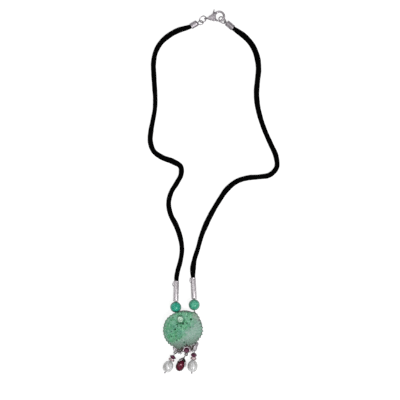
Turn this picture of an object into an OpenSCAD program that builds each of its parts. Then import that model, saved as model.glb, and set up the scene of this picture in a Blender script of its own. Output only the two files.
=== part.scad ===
// Pendant necklace: a carved jade disc with three drops, on two soft cords closed by a lobster clasp.
// It lies on a table as seen from above: +Y runs up to the clasp, +Z is up, and z = 0 is the table.

/* [Jade] */
// Diameter of the carved disc over its edge
jade_d = 25.4; // [24.6:0.2:25.8]
// Thickness of the disc from its flat back to the top of its dome
jade_t = 9.5; // [9:0.1:10.5]
// Number of scallops round the edge
scallops = 36; // [30:1:40]
// Depth of each scallop
scallop_depth = 0.34; // [0.1:0.02:0.36]
// Height of the carved flower and leaves
relief = 0.55; // [0.2:0.05:0.7]
// Petals of the carved flower
petals = 7; // [5:1:9]

/* [Beads and pearls] */
// Diameter of the round stone beads
bead_d = 7.1; // [6.6:0.1:7.2]
// Width of each pearl
pearl_d = 6.4; // [5.8:0.1:6.4]
// Length of each pearl
pearl_l = 7.8; // [7:0.1:7.8]
// Width of the middle garnet drop
drop_d = 5.6; // [5:0.1:5.8]
// Facets round each cut stone
facets = 10; // [8:2:12]

/* [Silver] */
// Wire of the two rings of the fastening
ring_wire = 0.7; // [0.6:0.05:0.7]
// Wire of the other rings and loops
wire_d = 0.6; // [0.5:0.05:0.6]
// Wire of the pins through beads and pearls
pin_d = 0.5; // [0.4:0.05:0.5]
// Outer diameter of the two long tubes
tube_d = 3.4; // [3.2:0.1:3.4]
// Length of each tube
tube_l = 13.4; // [12.6:0.2:13.4]
// Outer diameter of the cord ends
cap_d = 3.4; // [3.3:0.05:3.45]
// Wall of the tubes and of the cord ends
wall = 0.3; // [0.2:0.05:0.35]

/* [Clasp] */
// Mean radius of the claw
claw_r = 3; // [2.95:0.05:3.05]
// Thickness of the claw
claw_d = 1.4; // [1.2:0.05:1.4]
// Thickness of the lever that shuts the claw
lever_t = 1; // [0.8:0.05:1]
// Radius of the pin on which the lever turns
hinge_r = 0.4; // [0.35:0.01:0.42]
// Radial play of the lever on its pin
hinge_play = 0.05; // [0.03:0.01:0.08]

/* [Hidden] */
$fn = 64;

// Route of each cord and its section there: x, y, z of the middle, then width and height
LEFT_CORD = [
    [-2.6, 107.1, 1.9, 2.7, 2.7], [-5.2, 105.7, 1.75, 2.7, 2.7], [-7.5, 104.9, 1.5, 3.2, 2.6],
    [-12.9, 103.3, 1.2, 3.6, 2.3], [-19.9, 99.4, 1.15, 3.6, 2.2], [-24.2, 95.5, 1.15, 3.4, 2.2],
    [-27.7, 89.4, 1.15, 3.2, 2.2], [-29.1, 82, 1.1, 3.3, 2.2], [-28.9, 75, 1.1, 3.3, 2.2],
    [-28.4, 67, 1.1, 3.2, 2.2], [-28, 60, 1.1, 3, 2.2], [-28.2, 53, 1.1, 2.9, 2.2],
    [-29.4, 46, 1.1, 3, 2.2], [-30.7, 39, 1.1, 3.3, 2.2], [-31.1, 32, 1.1, 3.4, 2.2],
    [-29, 26, 1.1, 3.3, 2.2], [-23.7, 22, 1.1, 3.5, 2.2], [-16.5, 19.2, 1.1, 3.7, 2.2],
    [-11.7, 16, 1.15, 3.4, 2.3], [-11.4, 11.4, 1.15, 3.3, 2.3], [-14.2, 5.6, 1.1, 3.2, 2.2],
    [-17.7, -0.2, 1.1, 3.1, 2.2], [-19.4, -7, 1.1, 3.2, 2.2], [-18.1, -14.6, 1.1, 3.3, 2.2],
    [-14.7, -21.4, 1.1, 3.5, 2.2], [-12.1, -28.8, 1.1, 3.3, 2.2], [-10.9, -36.5, 1.1, 3, 2.2],
    [-11.9, -44.5, 1.1, 3, 2.2], [-13.8, -51.5, 1.2, 3.1, 2.3], [-14.4, -55.6, 1.55, 2.9, 2.7],
    [-14.4, -56.9, 1.73, 2.7, 2.7], [-14.55, -61, 2.3, 2.7, 2.7]
];
RIGHT_CORD = [
    [19.5, 106.5, 1.75, 2.7, 2.7], [21.9, 104.5, 1.75, 2.7, 2.7], [24.2, 102.9, 1.5, 3.4, 2.7],
    [29.8, 98.7, 1.2, 3.8, 2.3], [34.2, 93.4, 1.2, 3.7, 2.3], [37.2, 86, 1.15, 3.8, 2.2],
    [38.1, 78.5, 1.1, 3.6, 2.2], [37.4, 71, 1.1, 3.5, 2.2], [36.8, 63.5, 1.1, 3.6, 2.2],
    [37.3, 56, 1.1, 3.5, 2.2], [39.2, 47.5, 1.1, 3.3, 2.2], [42.2, 38.8, 1.1, 3.2, 2.2],
    [45.9, 30.4, 1.1, 3.3, 2.2], [49.3, 22.4, 1.1, 3.4, 2.2], [49.6, 15.4, 1.15, 3.2, 2.3],
    [45.5, 10.9, 1.15, 3.4, 2.3], [38.5, 9.5, 1.1, 3.2, 2.2], [31.5, 8.9, 1.1, 3.4, 2.2],
    [24.5, 6.8, 1.1, 3.3, 2.2], [18.1, 1.8, 1.1, 3.6, 2.2], [13, -5.4, 1.1, 3.3, 2.2],
    [8.5, -12.9, 1.1, 3.4, 2.2], [4.7, -20.5, 1.1, 3.6, 2.2], [1.5, -28.5, 1.1, 3.1, 2.2],
    [-0.7, -36.4, 1.1, 3, 2.2], [-3.1, -44.2, 1.1, 3.2, 2.2], [-3.9, -50, 1.15, 3.7, 2.3],
    [-3.85, -53.8, 1.5, 3, 2.7], [-3.75, -55.1, 1.73, 2.7, 2.7], [-3.55, -59.2, 2.3, 2.7, 2.7]
];
cord_sides = 8;

// Radius of the jade's outline against the angle from +X: a corner at the upper right, low over the silver arch
OUTLINE = [
    [0, 1], [20, 1.005], [33, 1.03], [46, 1.1], [54, 1.125], [62, 1.085], [72, 1.02], [95, 0.996],
    [120, 1], [145, 1.025], [170, 1.005], [195, 0.985], [220, 0.965], [238, 0.925], [256, 0.955],
    [268, 0.84], [283, 0.73], [298, 0.835], [315, 0.88], [335, 0.915], [350, 0.975], [360, 1]
];
// Carved leaves: middle x and y from the jade's centre, direction, length and width
LEAVES = [
    [6.4, 6.2, 52, 8.5, 3.4], [3.6, 8.6, 78, 5.5, 2.6], [-8.3, 6, 150, 6, 3],
    [-7.6, -0.5, 200, 7, 3.2], [-5.2, -6.6, 238, 7, 3.2], [0.6, -6.8, 285, 6.5, 3]
];
jade_at = [-10.2, -88.8];
jade_r = jade_d / 2;
jade_z = 1.5;
jade_flat_r = 6.8;
jade_edge_z = 6.6;
jade_top_z = jade_z + jade_t;
stud_at = [-1.75, 7.6];
stud_r = 1.95;
stud_floor_z = 9.45;
dimple_r = 2.9;
flower_r = 6.4;
jade_sectors = 144;
// Radii of the front's rings and heights of the back's rings, as shares of the full size
FRONT_RINGS = [0.07, 0.15, 0.23, 0.3, 0.36, 0.42, 0.48, 0.54, 0.6, 0.66, 0.72, 0.78, 0.84, 0.9, 0.95, 0.985];
BACK_RINGS = [1, 0.75, 0.5, 0.28, 0.1, 0];

// Silver frame behind and below the jade
frame_at = [-9.3, -87.4];
frame_r = 11;
frame_wire = 1.1;
seat_r = 7.6;
seat_w = 1.7;
seat_t = 1.4;
loop_r = 0.8;
bead_loop_r = 0.66;
garnet_at = [-7.95, -101.3];
garnet_r = 1.6;
arch_r = 2.1;
arch_d = 1.1;
gallery_z = 1.9;

// Loops of the frame that carry the beads and the drops
bead_left_at = [-14.85, -73.7, bead_d / 2];
bead_right_at = [-3.05, -72.2, bead_d / 2];
bead_loop_left = [-14.9, -78.2, 2.12];
bead_loop_right = [-2.95, -76.75, 1.9];
drop_loop_left = [-15.6, -103.5, gallery_z];
drop_loop_right = [-2.95, -101.75, gallery_z];
drop_loop_centre = [-8.68, -104.64, gallery_z];
drop_lean_left = 27;
drop_lean_right = 7;
drop_lean_centre = 24.7;
drop_rise = 8.5;

// Long tubes: middle of the closed end and the way from there to the open mouth
tube_end_left = [-14.82, -69.95, 3.5];
tube_end_right = [-3.1, -68.4, 3.5];
tube_way_left = unit([0.4, 13.15, -1.76]);
tube_way_right = unit([-0.65, 13.4, -1.76]);
tube_plug = 1;
side_ring_r = 1.5;

// Cord ends: middle of the open mouth and middle of the shut end
cap_mouth_left = [-5.1, 105.75, 1.75];
cap_end_left = [-1, 108, 2];
cap_mouth_right = [21.8, 104.55, 1.75];
cap_end_right = [17.65, 108.1, 1.75];
cap_plug = 1.2;
cap_bevel = 0.7;

// Rings of the fastening: middle, tilt from flat, direction of the tilt, mean radius
CAP_LOOP_LEFT = [[1.01, 108, 2.16], 36.6, 97.5, 1.69];
RING_LEFT = [[2.45, 110.23, 2.07], 38.9, -48.5, 2.25];
CLASP_EYE = [[4.48, 110.75, 1.34], 59, 99, 0.95];
RING_RIGHT = [[14.84, 109.71, 2.015], 43, 42.1, 2.43];
CAP_LOOP_RIGHT = [[16.85, 108.52, 1.4], 121.5, 46.1, 0.97];

// Clasp, in its own frame: middle of the claw's opening at the origin, the eye along -X
clasp_at = [13.06, 112.1, 1.5];
clasp_turn = 8.9;
clasp_pin = [-4, -0.2];
claw_start = -97.5;
claw_end = 140;
lever_start = 200;
lever_end = 243;
lobe_start = 204;
lobe_end = 238;
lobe_w = 0.9;
slot_play = 0.05;

function lerp(a, b, t) = a + (b - a) * t;
function clamp01(t) = min(1, max(0, t));
function smooth(t) = let (s = clamp01(t)) s * s * (3 - 2 * s);
function unit(v) = v / norm(v);
// Value of a table of [key, value] rows at x, eased between its rows
function ease_table(rows, x, i = 0) =
    x <= rows[i + 1][0] || i + 2 >= len(rows)
        ? lerp(rows[i][1], rows[i + 1][1], smooth((x - rows[i][0]) / (rows[i + 1][0] - rows[i][0])))
        : ease_table(rows, x, i + 1);
// Direction of a hanging drop, down its length
function drop_dir(lean) = [-sin(lean) * cos(drop_rise), -cos(lean) * cos(drop_rise), sin(drop_rise)];

// Straight round rod between two points
module rod(a, b, d) {
    v = b - a;
    translate(a) rotate([0, acos(v[2] / norm(v)), atan2(v[1], v[0])]) cylinder(h = norm(v), d = d);
}

// Round wire through a list of points, each length run a little past its bends
module bent_wire(points, d) {
    last = len(points) - 1;
    past = d * 0.3;
    for (i = [0:last - 1]) {
        dir = unit(points[i + 1] - points[i]);
        rod(points[i] - dir * (i > 0 ? past : 0), points[i + 1] + dir * (i < last - 1 ? past : 0), d);
    }
}

// Round ring, tilted from flat in a given direction
module ring(at, tilt, turn, r, d) {
    translate(at) rotate([0, tilt, turn]) rotate_extrude() translate([r, 0]) circle(d = d);
}

// Turns a shape built along +Z so that it starts at one point and runs towards another
module aim(from, to) {
    v = to - from;
    translate(from) rotate([0, acos(v[2] / norm(v)), atan2(v[1], v[0])]) children();
}

// Faces of a solid skinned over equal rings of points, flat at both ends
function skin_faces(rings, sides) = concat(
    [[for (k = [0:sides - 1]) k]],
    [for (i = [0:rings - 2], k = [0:sides - 1])
        let (a = i * sides + k, b = i * sides + (k + 1) % sides)
        [a, a + sides, b + sides, b]],
    [[for (k = [sides - 1:-1:0]) (rings - 1) * sides + k]]
);

// Faces of a solid that runs from one pole through equal rings to the other pole
function dome_faces(rings, sides) = concat(
    [for (k = [0:sides - 1]) [0, 1 + (k + 1) % sides, 1 + k]],
    [for (i = [0:rings - 2], k = [0:sides - 1])
        let (a = 1 + i * sides + k, b = 1 + i * sides + (k + 1) % sides)
        each [[a, b, b + sides], [a, b + sides, a + sides]]],
    [for (k = [0:sides - 1])
        [rings * sides + 1, 1 + (rings - 1) * sides + k, 1 + (rings - 1) * sides + (k + 1) % sides]]
);

// Soft cord: flattened rings swept along its route, lying on the table
module cord(route) {
    n = len(route);
    points = [for (i = [0:n - 1])
        let (
            p = route[i],
            a = route[max(0, i - 1)],
            b = route[min(n - 1, i + 1)],
            t = unit([b[0] - a[0], b[1] - a[1], b[2] - a[2]]),
            side = unit([t[1], -t[0], 0]),
            up = cross(side, t)
        )
        each [for (k = [0:cord_sides - 1])
            let (a = (k + 0.5) * 360 / cord_sides, g = 1 / cos(180 / cord_sides))
            [p[0], p[1], p[2]] + side * (p[3] / 2 * g * cos(a)) + up * (p[4] / 2 * g * sin(a))]];
    color("#111113") polyhedron(points, skin_faces(n, cord_sides), convexity = 6);
}

// Cord end: a cup for the cord with a rounded shut end
module cord_end(mouth, end) {
    length = norm(end - mouth);
    difference() {
        aim(mouth, end) union() {
            cylinder(h = length - cap_bevel, d = cap_d);
            translate([0, 0, length - cap_bevel])
                cylinder(h = cap_bevel, d1 = cap_d, d2 = cap_d - 2 * cap_bevel);
        }
        aim(mouth, end) translate([0, 0, -1]) cylinder(h = length - cap_plug + 1, d = cap_d - 2 * wall);
    }
}

module end_cap_left() {
    solder = [-0.67, 107.92, 2.06];
    color("silver") union() {
        cord_end(cap_mouth_left, cap_end_left);
        rod(cap_end_left - unit(cap_end_left - cap_mouth_left) * 0.4, solder, 1);
        ring(CAP_LOOP_LEFT[0], CAP_LOOP_LEFT[1], CAP_LOOP_LEFT[2], CAP_LOOP_LEFT[3], wire_d);
    }
}

module end_cap_right() {
    color("silver") union() {
        cord_end(cap_mouth_right, cap_end_right);
        ring(CAP_LOOP_RIGHT[0], CAP_LOOP_RIGHT[1], CAP_LOOP_RIGHT[2], CAP_LOOP_RIGHT[3], wire_d);
    }
}

module jump_ring_left() {
    color("silver") ring(RING_LEFT[0], RING_LEFT[1], RING_LEFT[2], RING_LEFT[3], ring_wire);
}

module jump_ring_right() {
    color("silver") ring(RING_RIGHT[0], RING_RIGHT[1], RING_RIGHT[2], RING_RIGHT[3], ring_wire);
}

// Clasp: a claw bent from one body, slotted for its lever, with the eye at the other end
module clasp_body() {
    slot_t = lever_t + 2 * slot_play;
    color("silver") union() {
        translate(clasp_at) rotate([0, 0, clasp_turn]) {
            difference() {
                hull($fn = 32) {
                    translate([-7, -0.15, 0]) sphere(r = 0.85);
                    translate([-5.3, 0.6, 0]) sphere(r = 1.2);
                    translate([-3.7, 1.5, 0]) sphere(r = 1.3);
                    translate([-2.5, 2.3, 0]) sphere(r = 1.05);
                    translate([-3.6, -1.9, 0]) sphere(r = 1);
                }
                translate([0, 0, -2]) cylinder(h = 4, r = claw_r - claw_d / 2);
                translate([0, 0, -slot_t / 2]) linear_extrude(slot_t)
                    polygon([[-5.7, -3.6], [-1, -3.6], [-1, 0.9], [-3.05, 1], [-2.35, 4.2], [-5.7, 4.2]]);
            }
            rotate([0, 0, claw_start]) rotate_extrude(angle = claw_end - claw_start)
                translate([claw_r, 0]) circle(d = claw_d);
            translate([claw_r * cos(claw_start), claw_r * sin(claw_start), 0]) sphere(d = claw_d + 0.08);
            translate([clasp_pin[0], clasp_pin[1], -0.95]) cylinder(h = 1.9, r = hinge_r);
            translate([-7.7, -0.05, -0.1]) sphere(d = 0.9);
        }
        ring(CLASP_EYE[0], CLASP_EYE[1], CLASP_EYE[2], CLASP_EYE[3], wire_d);
    }
}

// Lever of the clasp: thumb tab above, gate below, turning on the pin
module clasp_trigger() {
    gate_w = 0.85;
    gate_r = claw_r - 0.05;
    color("silver") translate(clasp_at) rotate([0, 0, clasp_turn]) difference() {
        union() {
            translate([clasp_pin[0], clasp_pin[1], -lever_t / 2]) cylinder(h = lever_t, r = 0.8);
            translate([0, 0, -lever_t / 2]) linear_extrude(lever_t) polygon([
                [-4.7, 0.2], [-3.4, 0.3], [-3.25, 1.2], [-2.85, 3], [-2.35, 5.15], [-2.75, 5.1],
                [-3.85, 2.9], [-4.55, 1.3]
            ]);
            translate([0, 0, -lever_t / 2]) linear_extrude(lever_t) polygon([
                [-4.4, -0.85], [-3.5, 0.35], [-2.62, -0.5], [-2.3, -1.15], [-3.2, -1.55]
            ]);
            rotate([0, 0, lever_start]) rotate_extrude(angle = lever_end - lever_start)
                translate([gate_r - gate_w / 2, -lever_t / 2]) square([gate_w, lever_t]);
            rotate([0, 0, lobe_start]) rotate_extrude(angle = lobe_end - lobe_start)
                translate([gate_r - gate_w / 4, -lever_t / 2]) square([lobe_w, lever_t]);
        }
        translate([clasp_pin[0], clasp_pin[1], -1]) cylinder(h = 2, r = hinge_r + hinge_play);
    }
}

// Long tube: open for the cord, shut at the bead but for the pin's hole, with half a ring on its side
module long_tube(end, way, side_ring, side_tilt, side_arc) {
    length = tube_l;
    mouth = end + way * length;
    color("silver") difference() {
        union() {
            aim(mouth, end) cylinder(h = length, d = tube_d);
            translate(side_ring) rotate([0, side_tilt, 0]) rotate([0, 0, 180 - side_arc / 2])
                rotate_extrude(angle = side_arc) translate([side_ring_r, 0]) circle(d = wire_d - 0.05);
        }
        aim(mouth, end) translate([0, 0, -1]) cylinder(h = length - tube_plug + 1, d = tube_d - 2 * wall);
        aim(mouth, end) cylinder(h = length + 1, d = pin_d + 0.3);
    }
}

module tube_left() {
    long_tube(tube_end_left, tube_way_left, [-15.35, -59.15, 2.05], 0, 130);
}

module tube_right() {
    long_tube(tube_end_right, tube_way_right, [-4.78, -56.6, 1.95], 40, 130);
}

// Round stone bead, drilled along the way from its tube
module stone_bead(at) {
    color("#2fa68c") difference() {
        translate(at) sphere(d = bead_d);
        translate(at) rotate([90, 0, 0]) cylinder(h = bead_d + 2, d = pin_d + 0.3, center = true);
    }
}

module bead_left() {
    stone_bead(bead_left_at);
}

module bead_right() {
    stone_bead(bead_right_at);
}

// Pin through a bead: headed inside the tube, with a loop below the bead
module bead_wire(at, end, way, loop) {
    inside = end + way * (tube_plug + 0.7);
    foot = at - [0, bead_d / 2 + 0.15, 0];
    color("silver") union() {
        bent_wire([inside, end - way * 0.1, foot, loop + [0, 0.3, bead_loop_r - 0.1]], pin_d - 0.04);
        translate(inside) sphere(d = 1.2);
        ring(loop, 90, 0, bead_loop_r, pin_d);
    }
}

module bead_wire_left() {
    bead_wire(bead_left_at, tube_end_left, tube_way_left, bead_loop_left);
}

module bead_wire_right() {
    bead_wire(bead_right_at, tube_end_right, tube_way_right, bead_loop_right);
}

// Jade: outline radius at an angle, with the scallops stronger below and on the right
function outline(a) =
    let (turn = (a + 360) % 360, grow = 0.45 + 0.55 * smooth((cos(turn + 50) + 0.7) / 1.2))
    jade_r * ease_table(OUTLINE, turn) + scallop_depth * grow * cos(scallops * turn);

// Height that one leaf adds at a point of the jade's front
function leaf(row, x, y) =
    let (
        c = cos(row[2]),
        s = sin(row[2]),
        u = (x - row[0]) * c + (y - row[1]) * s,
        v = -(x - row[0]) * s + (y - row[1]) * c,
        half = row[4] / 2 * (1 - pow(2 * u / row[3], 2))
    )
    half <= 0 ? 0 : smooth(1.8 * (1 - abs(v) / half));

function leaves(x, y, i = 0) =
    i >= len(LEAVES) ? 0 : max(leaf(LEAVES[i], x, y), leaves(x, y, i + 1));

// Height that the flower's petals add, round the stud
function flower(x, y) =
    let (d = norm([x - stud_at[0], y - stud_at[1]]), a = atan2(y - stud_at[1], x - stud_at[0]))
    d > flower_r ? 0
        : smooth((flower_r - d) / 2.2) * smooth((d - dimple_r) / 0.8) * (0.25 + 0.75 * abs(cos(petals * a / 2)));

// Height of the front at share s of the outline's radius
function front_z(s, x, y) =
    let (
        dome = jade_edge_z + (jade_top_z - relief - jade_edge_z) * sqrt(1 - pow(s, 2.4)),
        carved = dome + relief * max(flower(x, y), 0.85 * leaves(x, y)) * smooth((1 - s) / 0.15)
    )
    norm([x - stud_at[0], y - stud_at[1]]) < dimple_r ? stud_floor_z : carved;

module jade() {
    angles = [for (k = [0:jade_sectors - 1]) k * 360 / jade_sectors];
    front = [for (s = FRONT_RINGS, a = angles)
        let (r = s * outline(a), x = r * cos(a), y = r * sin(a)) [x, y, front_z(s, x, y)]];
    back = [for (h = BACK_RINGS, a = angles)
        let (r = jade_flat_r + (outline(a) - jade_flat_r) * sqrt(1 - pow(1 - h, 2)))
        [r * cos(a), r * sin(a), lerp(jade_z, jade_edge_z, h)]];
    top = [0, 0, front_z(0, 0, 0)];
    color("#6fb48d") translate([jade_at[0], jade_at[1], 0]) polyhedron(
        concat([top], front, back, [[0, 0, jade_z]]),
        dome_faces(len(FRONT_RINGS) + len(BACK_RINGS), jade_sectors),
        convexity = 6
    );
}

// Silver head in the flower: a low dome with a pierced centre, as on a rivet
module stud() {
    base = [jade_at[0] + stud_at[0], jade_at[1] + stud_at[1], stud_floor_z + 0.1];
    color("#d9e2da") translate(base) difference() {
        union() {
            cylinder(h = 0.7, r = stud_r);
            translate([0, 0, 0.7]) cylinder(h = 0.45, r1 = stud_r, r2 = stud_r - 0.75);
        }
        translate([0, 0, 0.85]) cylinder(h = 1, r = 0.4);
    }
}

// Frame behind the jade: ring wire, seat, spokes and the two loops for the beads
module frame_ring() {
    seat = [jade_at[0], jade_at[1], 0];
    ring_mid = [frame_at[0], frame_at[1], frame_wire / 2];
    eye_wire = 0.5;
    eye_left = bead_loop_left - [0, bead_loop_r, 0];
    eye_right = bead_loop_right - [0, bead_loop_r, 0];
    ring(ring_mid, 0, 0, frame_r, frame_wire);
    translate(seat) difference() {
        cylinder(h = seat_t, r = seat_r);
        translate([0, 0, -1]) cylinder(h = seat_t + 2, r = seat_r - seat_w);
    }
    for (a = [40, 130, 220, 310])
        rod(seat + [0.9 * seat_r * cos(a), 0.9 * seat_r * sin(a), 0.65],
            ring_mid + [frame_r * cos(a), frame_r * sin(a), 0.05], 0.9);
    ring(eye_left, 0, 0, bead_loop_r, eye_wire);
    rod(eye_left - [0.25, bead_loop_r, 0], [-15.4, -79.4, 0.6], 0.5);
    rod([-15.4, -79.6, 0.6], [-14.9, -77.9, 0.55], 0.6);
    ring(eye_right, 0, 0, bead_loop_r, eye_wire);
    rod(eye_right - [0.1, bead_loop_r, 0], [-3.4, -78.7, 0.65], 0.5);
}

// Left scroll below the jade: arm, loop for the left drop and waved bar
module frame_left_scroll() {
    hook = drop_loop_left + [0.37, 0.72, 0];
    bent_wire([[-15, -96.6, 0.9], [-15.9, -99.3, 1.7], hook + [-0.2, loop_r, 0]], 1.6);
    ring(hook, 0, 0, loop_r, wire_d);
    bent_wire([[-15.6, -100.6, gallery_z], [-14.2, -102.4, gallery_z], [-12.8, -103, gallery_z],
        [-11.3, -102.5, gallery_z], [garnet_at[0] - arch_r, garnet_at[1] - 0.2, gallery_z]], 0.95);
    ring([-11.6, -103.35, gallery_z], 0, 0, 0.55, wire_d - 0.1);
}

// Arch and cup of the middle garnet, with the loop for the middle drop
module frame_arch() {
    hook = drop_loop_centre + [0.48, 0.64, 0];
    translate([garnet_at[0], garnet_at[1], gallery_z + 0.2]) rotate([0, 0, -8])
        rotate_extrude(angle = 196) translate([arch_r, 0]) circle(d = arch_d);
    translate([garnet_at[0], garnet_at[1], 0.9]) cylinder(h = 0.8, r = arch_r - 0.15);
    rod([garnet_at[0] - 0.4, garnet_at[1] + 1.6, 1.3], [garnet_at[0] - 0.6, garnet_at[1] + 3.2, 0.6], 0.7);
    ring(hook, 0, 0, loop_r, wire_d);
}

// Right scroll: a long link half filled by a thin plate, a small domed ring and the bar to the arch
module frame_right_scroll() {
    top = [-1.65, -97.4, gallery_z];
    foot = [-2.8, -100.85, gallery_z];
    r = 0.9;
    side = unit([foot[1] - top[1], top[0] - foot[0], 0]) * r;
    turn = atan2(top[1] - foot[1], top[0] - foot[0]);
    along = unit(top - foot) * 0.08;
    for (k = [-1, 1]) rod(top + along + side * k, foot - along + side * k, 0.74);
    translate(top) rotate([0, 0, turn - 90]) rotate_extrude(angle = 180) translate([r, 0]) circle(d = 0.8);
    translate(foot) rotate([0, 0, turn + 90]) rotate_extrude(angle = 180) translate([r, 0]) circle(d = 0.8);
    translate([0, 0, gallery_z - 0.22]) linear_extrude(0.4) hull() {
        translate([top[0], top[1]]) circle(r = r);
        translate([(top[0] + foot[0]) / 2, (top[1] + foot[1]) / 2]) circle(r = r);
    }
    ring([-1.75, -97.25, gallery_z + 0.65], 0, 0, 1.15, 0.75);
    translate([-1.75, -97.25, gallery_z]) cylinder(h = 0.95, r1 = 1.2, r2 = 0.8);
    rod([-3.1, -96.9, 0.7], [-2.7, -97.2, gallery_z + 0.1], 0.9);
    bent_wire([[garnet_at[0] + arch_r, garnet_at[1] - 0.2, gallery_z], [-4.6, -102, gallery_z],
        [-3.6, -101.5, gallery_z]], 0.85);
}

// Silver frame behind and below the jade, soldered into one piece
module pendant_frame() {
    color("silver") union() {
        frame_ring();
        frame_left_scroll();
        frame_arch();
        frame_right_scroll();
    }
}

// Cut stone: flat table, sloped crown, girdle and a point below, with the origin in the girdle
module cut_stone(r, sides) {
    rows = [[0.55, 0.42], [1, 0.1], [1, -0.08], [0.45, -0.6]];
    points = concat(
        [[0, 0, r * 0.42]],
        [for (row = rows, k = [0:sides - 1])
            let (a = (k + (row[0] == 0.55 ? 0.5 : 0)) * 360 / sides)
            [r * row[0] * cos(a), r * row[0] * sin(a), r * row[1]]],
        [[0, 0, -r * 0.65]]
    );
    polyhedron(points, dome_faces(len(rows), sides), convexity = 4);
}

module centre_garnet() {
    color("#5a1030") translate([garnet_at[0], garnet_at[1], gallery_z + 0.95]) cut_stone(garnet_r, facets);
}

// Faceted rondelle, drilled, standing on the drop's line at a distance from its loop
module rondelle(loop, lean, along, r, t, waist) {
    at = loop + drop_dir(lean) * along;
    aim(at, at + drop_dir(lean)) difference() {
        rotate_extrude($fn = facets) polygon([
            [0, -t / 2], [r * waist, -t / 2], [r, -t * 0.08], [r, t * 0.08], [r * waist, t / 2], [0, t / 2]
        ]);
        cylinder(h = t + 2, d = pin_d + 0.2, center = true);
    }
}

// Pearl: a smooth oval, a little fuller below, drilled along its length
module pearl(loop, lean, along) {
    n = 14;
    at = loop + drop_dir(lean) * along;
    color("#d5d8d5") aim(at, at + drop_dir(lean)) difference() {
        rotate_extrude() polygon([for (i = [0:n])
            let (a = i * 180 / n) [pearl_d / 2 * pow(sin(a), 0.92) * (1 - 0.05 * cos(a)), -pearl_l / 2 * cos(a)]]);
        cylinder(h = pearl_l + 2, d = pin_d + 0.2, center = true);
    }
}

// Pin of a pearl drop: upright loop, straight wire and a drawn silver tip
module drop_pin(loop, lean, length) {
    dir = drop_dir(lean);
    color("silver") union() {
        ring(loop, 90, 180 - lean, loop_r, pin_d);
        rod(loop + dir * loop_r, loop + dir * (length - 0.4), pin_d);
        aim(loop + dir * (length - 1), loop + dir * length) cylinder(h = 1, d1 = 1.1, d2 = 0.65);
    }
}

module drop_pin_left() {
    drop_pin(drop_loop_left, drop_lean_left, 14.2);
}

module garnet_rondelle_left() {
    color("#5a1030") rondelle(drop_loop_left, drop_lean_left, 2.5, 2.2, 2.1, 0.5);
}

module pink_rondelle_left() {
    color("#e3b9bd") rondelle(drop_loop_left, drop_lean_left, 4.42, 2, 1.5, 0.8);
}

module pearl_left() {
    pearl(drop_loop_left, drop_lean_left, 9.18);
}

module drop_pin_right() {
    drop_pin(drop_loop_right, drop_lean_right, 14.8);
}

module garnet_rondelle_right() {
    color("#5a1030") rondelle(drop_loop_right, drop_lean_right, 2.65, 2.05, 2.5, 0.6);
}

module pink_rondelle_right() {
    color("#e3b9bd") rondelle(drop_loop_right, drop_lean_right, 4.88, 1.95, 1.7, 0.8);
}

module pearl_right() {
    pearl(drop_loop_right, drop_lean_right, 9.75);
}

// Middle drop: distances along it are taken from the neck of its silver cap
drop_neck = [-9.75, -106.35, 2.15];
drop_axis = drop_dir(drop_lean_centre);

// Silver cap of the middle drop: loop, stem, cup and two turns of wire
module drop_cap() {
    stem_top = drop_loop_centre + [-0.48, -0.64, 0];
    color("silver") union() {
        ring(drop_loop_centre, 90, atan2(stem_top[0] - drop_loop_centre[0], drop_loop_centre[1] - stem_top[1]) + 180,
            loop_r, pin_d);
        bent_wire([stem_top, drop_neck], 0.7);
        aim(drop_neck, drop_neck + drop_axis) difference() {
            cylinder(h = 1.9, r1 = 0.6, r2 = 2.25);
            translate([0, 0, 0.5]) cylinder(h = 1.9, r1 = 0.45, r2 = 2.15);
        }
    }
}

// Middle garnet: a pear-shaped drop cut with rows of facets
module garnet_drop() {
    sides = facets;
    r = drop_d / 2;
    rows = [[1.5, 0.4], [2.4, 0.66], [3.7, 0.88], [5.2, 1], [6.6, 0.97], [7.9, 0.75], [8.7, 0.42]];
    points = concat(
        [[0, 0, 0.95]],
        [for (i = [0:len(rows) - 1], k = [0:sides - 1])
            let (a = (k + (i % 2) * 0.5) * 360 / sides)
            [r * rows[i][1] * cos(a), r * rows[i][1] * sin(a), rows[i][0]]],
        [[0, 0, 9]]
    );
    color("#6a1030") aim(drop_neck, drop_neck + drop_axis)
        mirror([0, 1, 0]) polyhedron(points, dome_faces(len(rows), sides), convexity = 4);
}

cord(LEFT_CORD);  // cord_left
cord(RIGHT_CORD);  // cord_right
end_cap_left();
end_cap_right();
jump_ring_left();
jump_ring_right();
clasp_body();
clasp_trigger();
tube_left();
tube_right();
bead_left();
bead_right();
bead_wire_left();
bead_wire_right();
jade();
stud();
pendant_frame();
centre_garnet();
drop_pin_left();
garnet_rondelle_left();
pink_rondelle_left();
pearl_left();
drop_pin_right();
garnet_rondelle_right();
pink_rondelle_right();
pearl_right();
drop_cap();
garnet_drop();
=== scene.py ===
"""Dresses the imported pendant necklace: carved jade on two soft cords, lying on a pale table.

All sizes are in millimetres in the necklace's own frame until a mesh is made, and in metres from then on.
"""

import logging
import math
from collections.abc import Sequence
from dataclasses import dataclass
from enum import Enum

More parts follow.
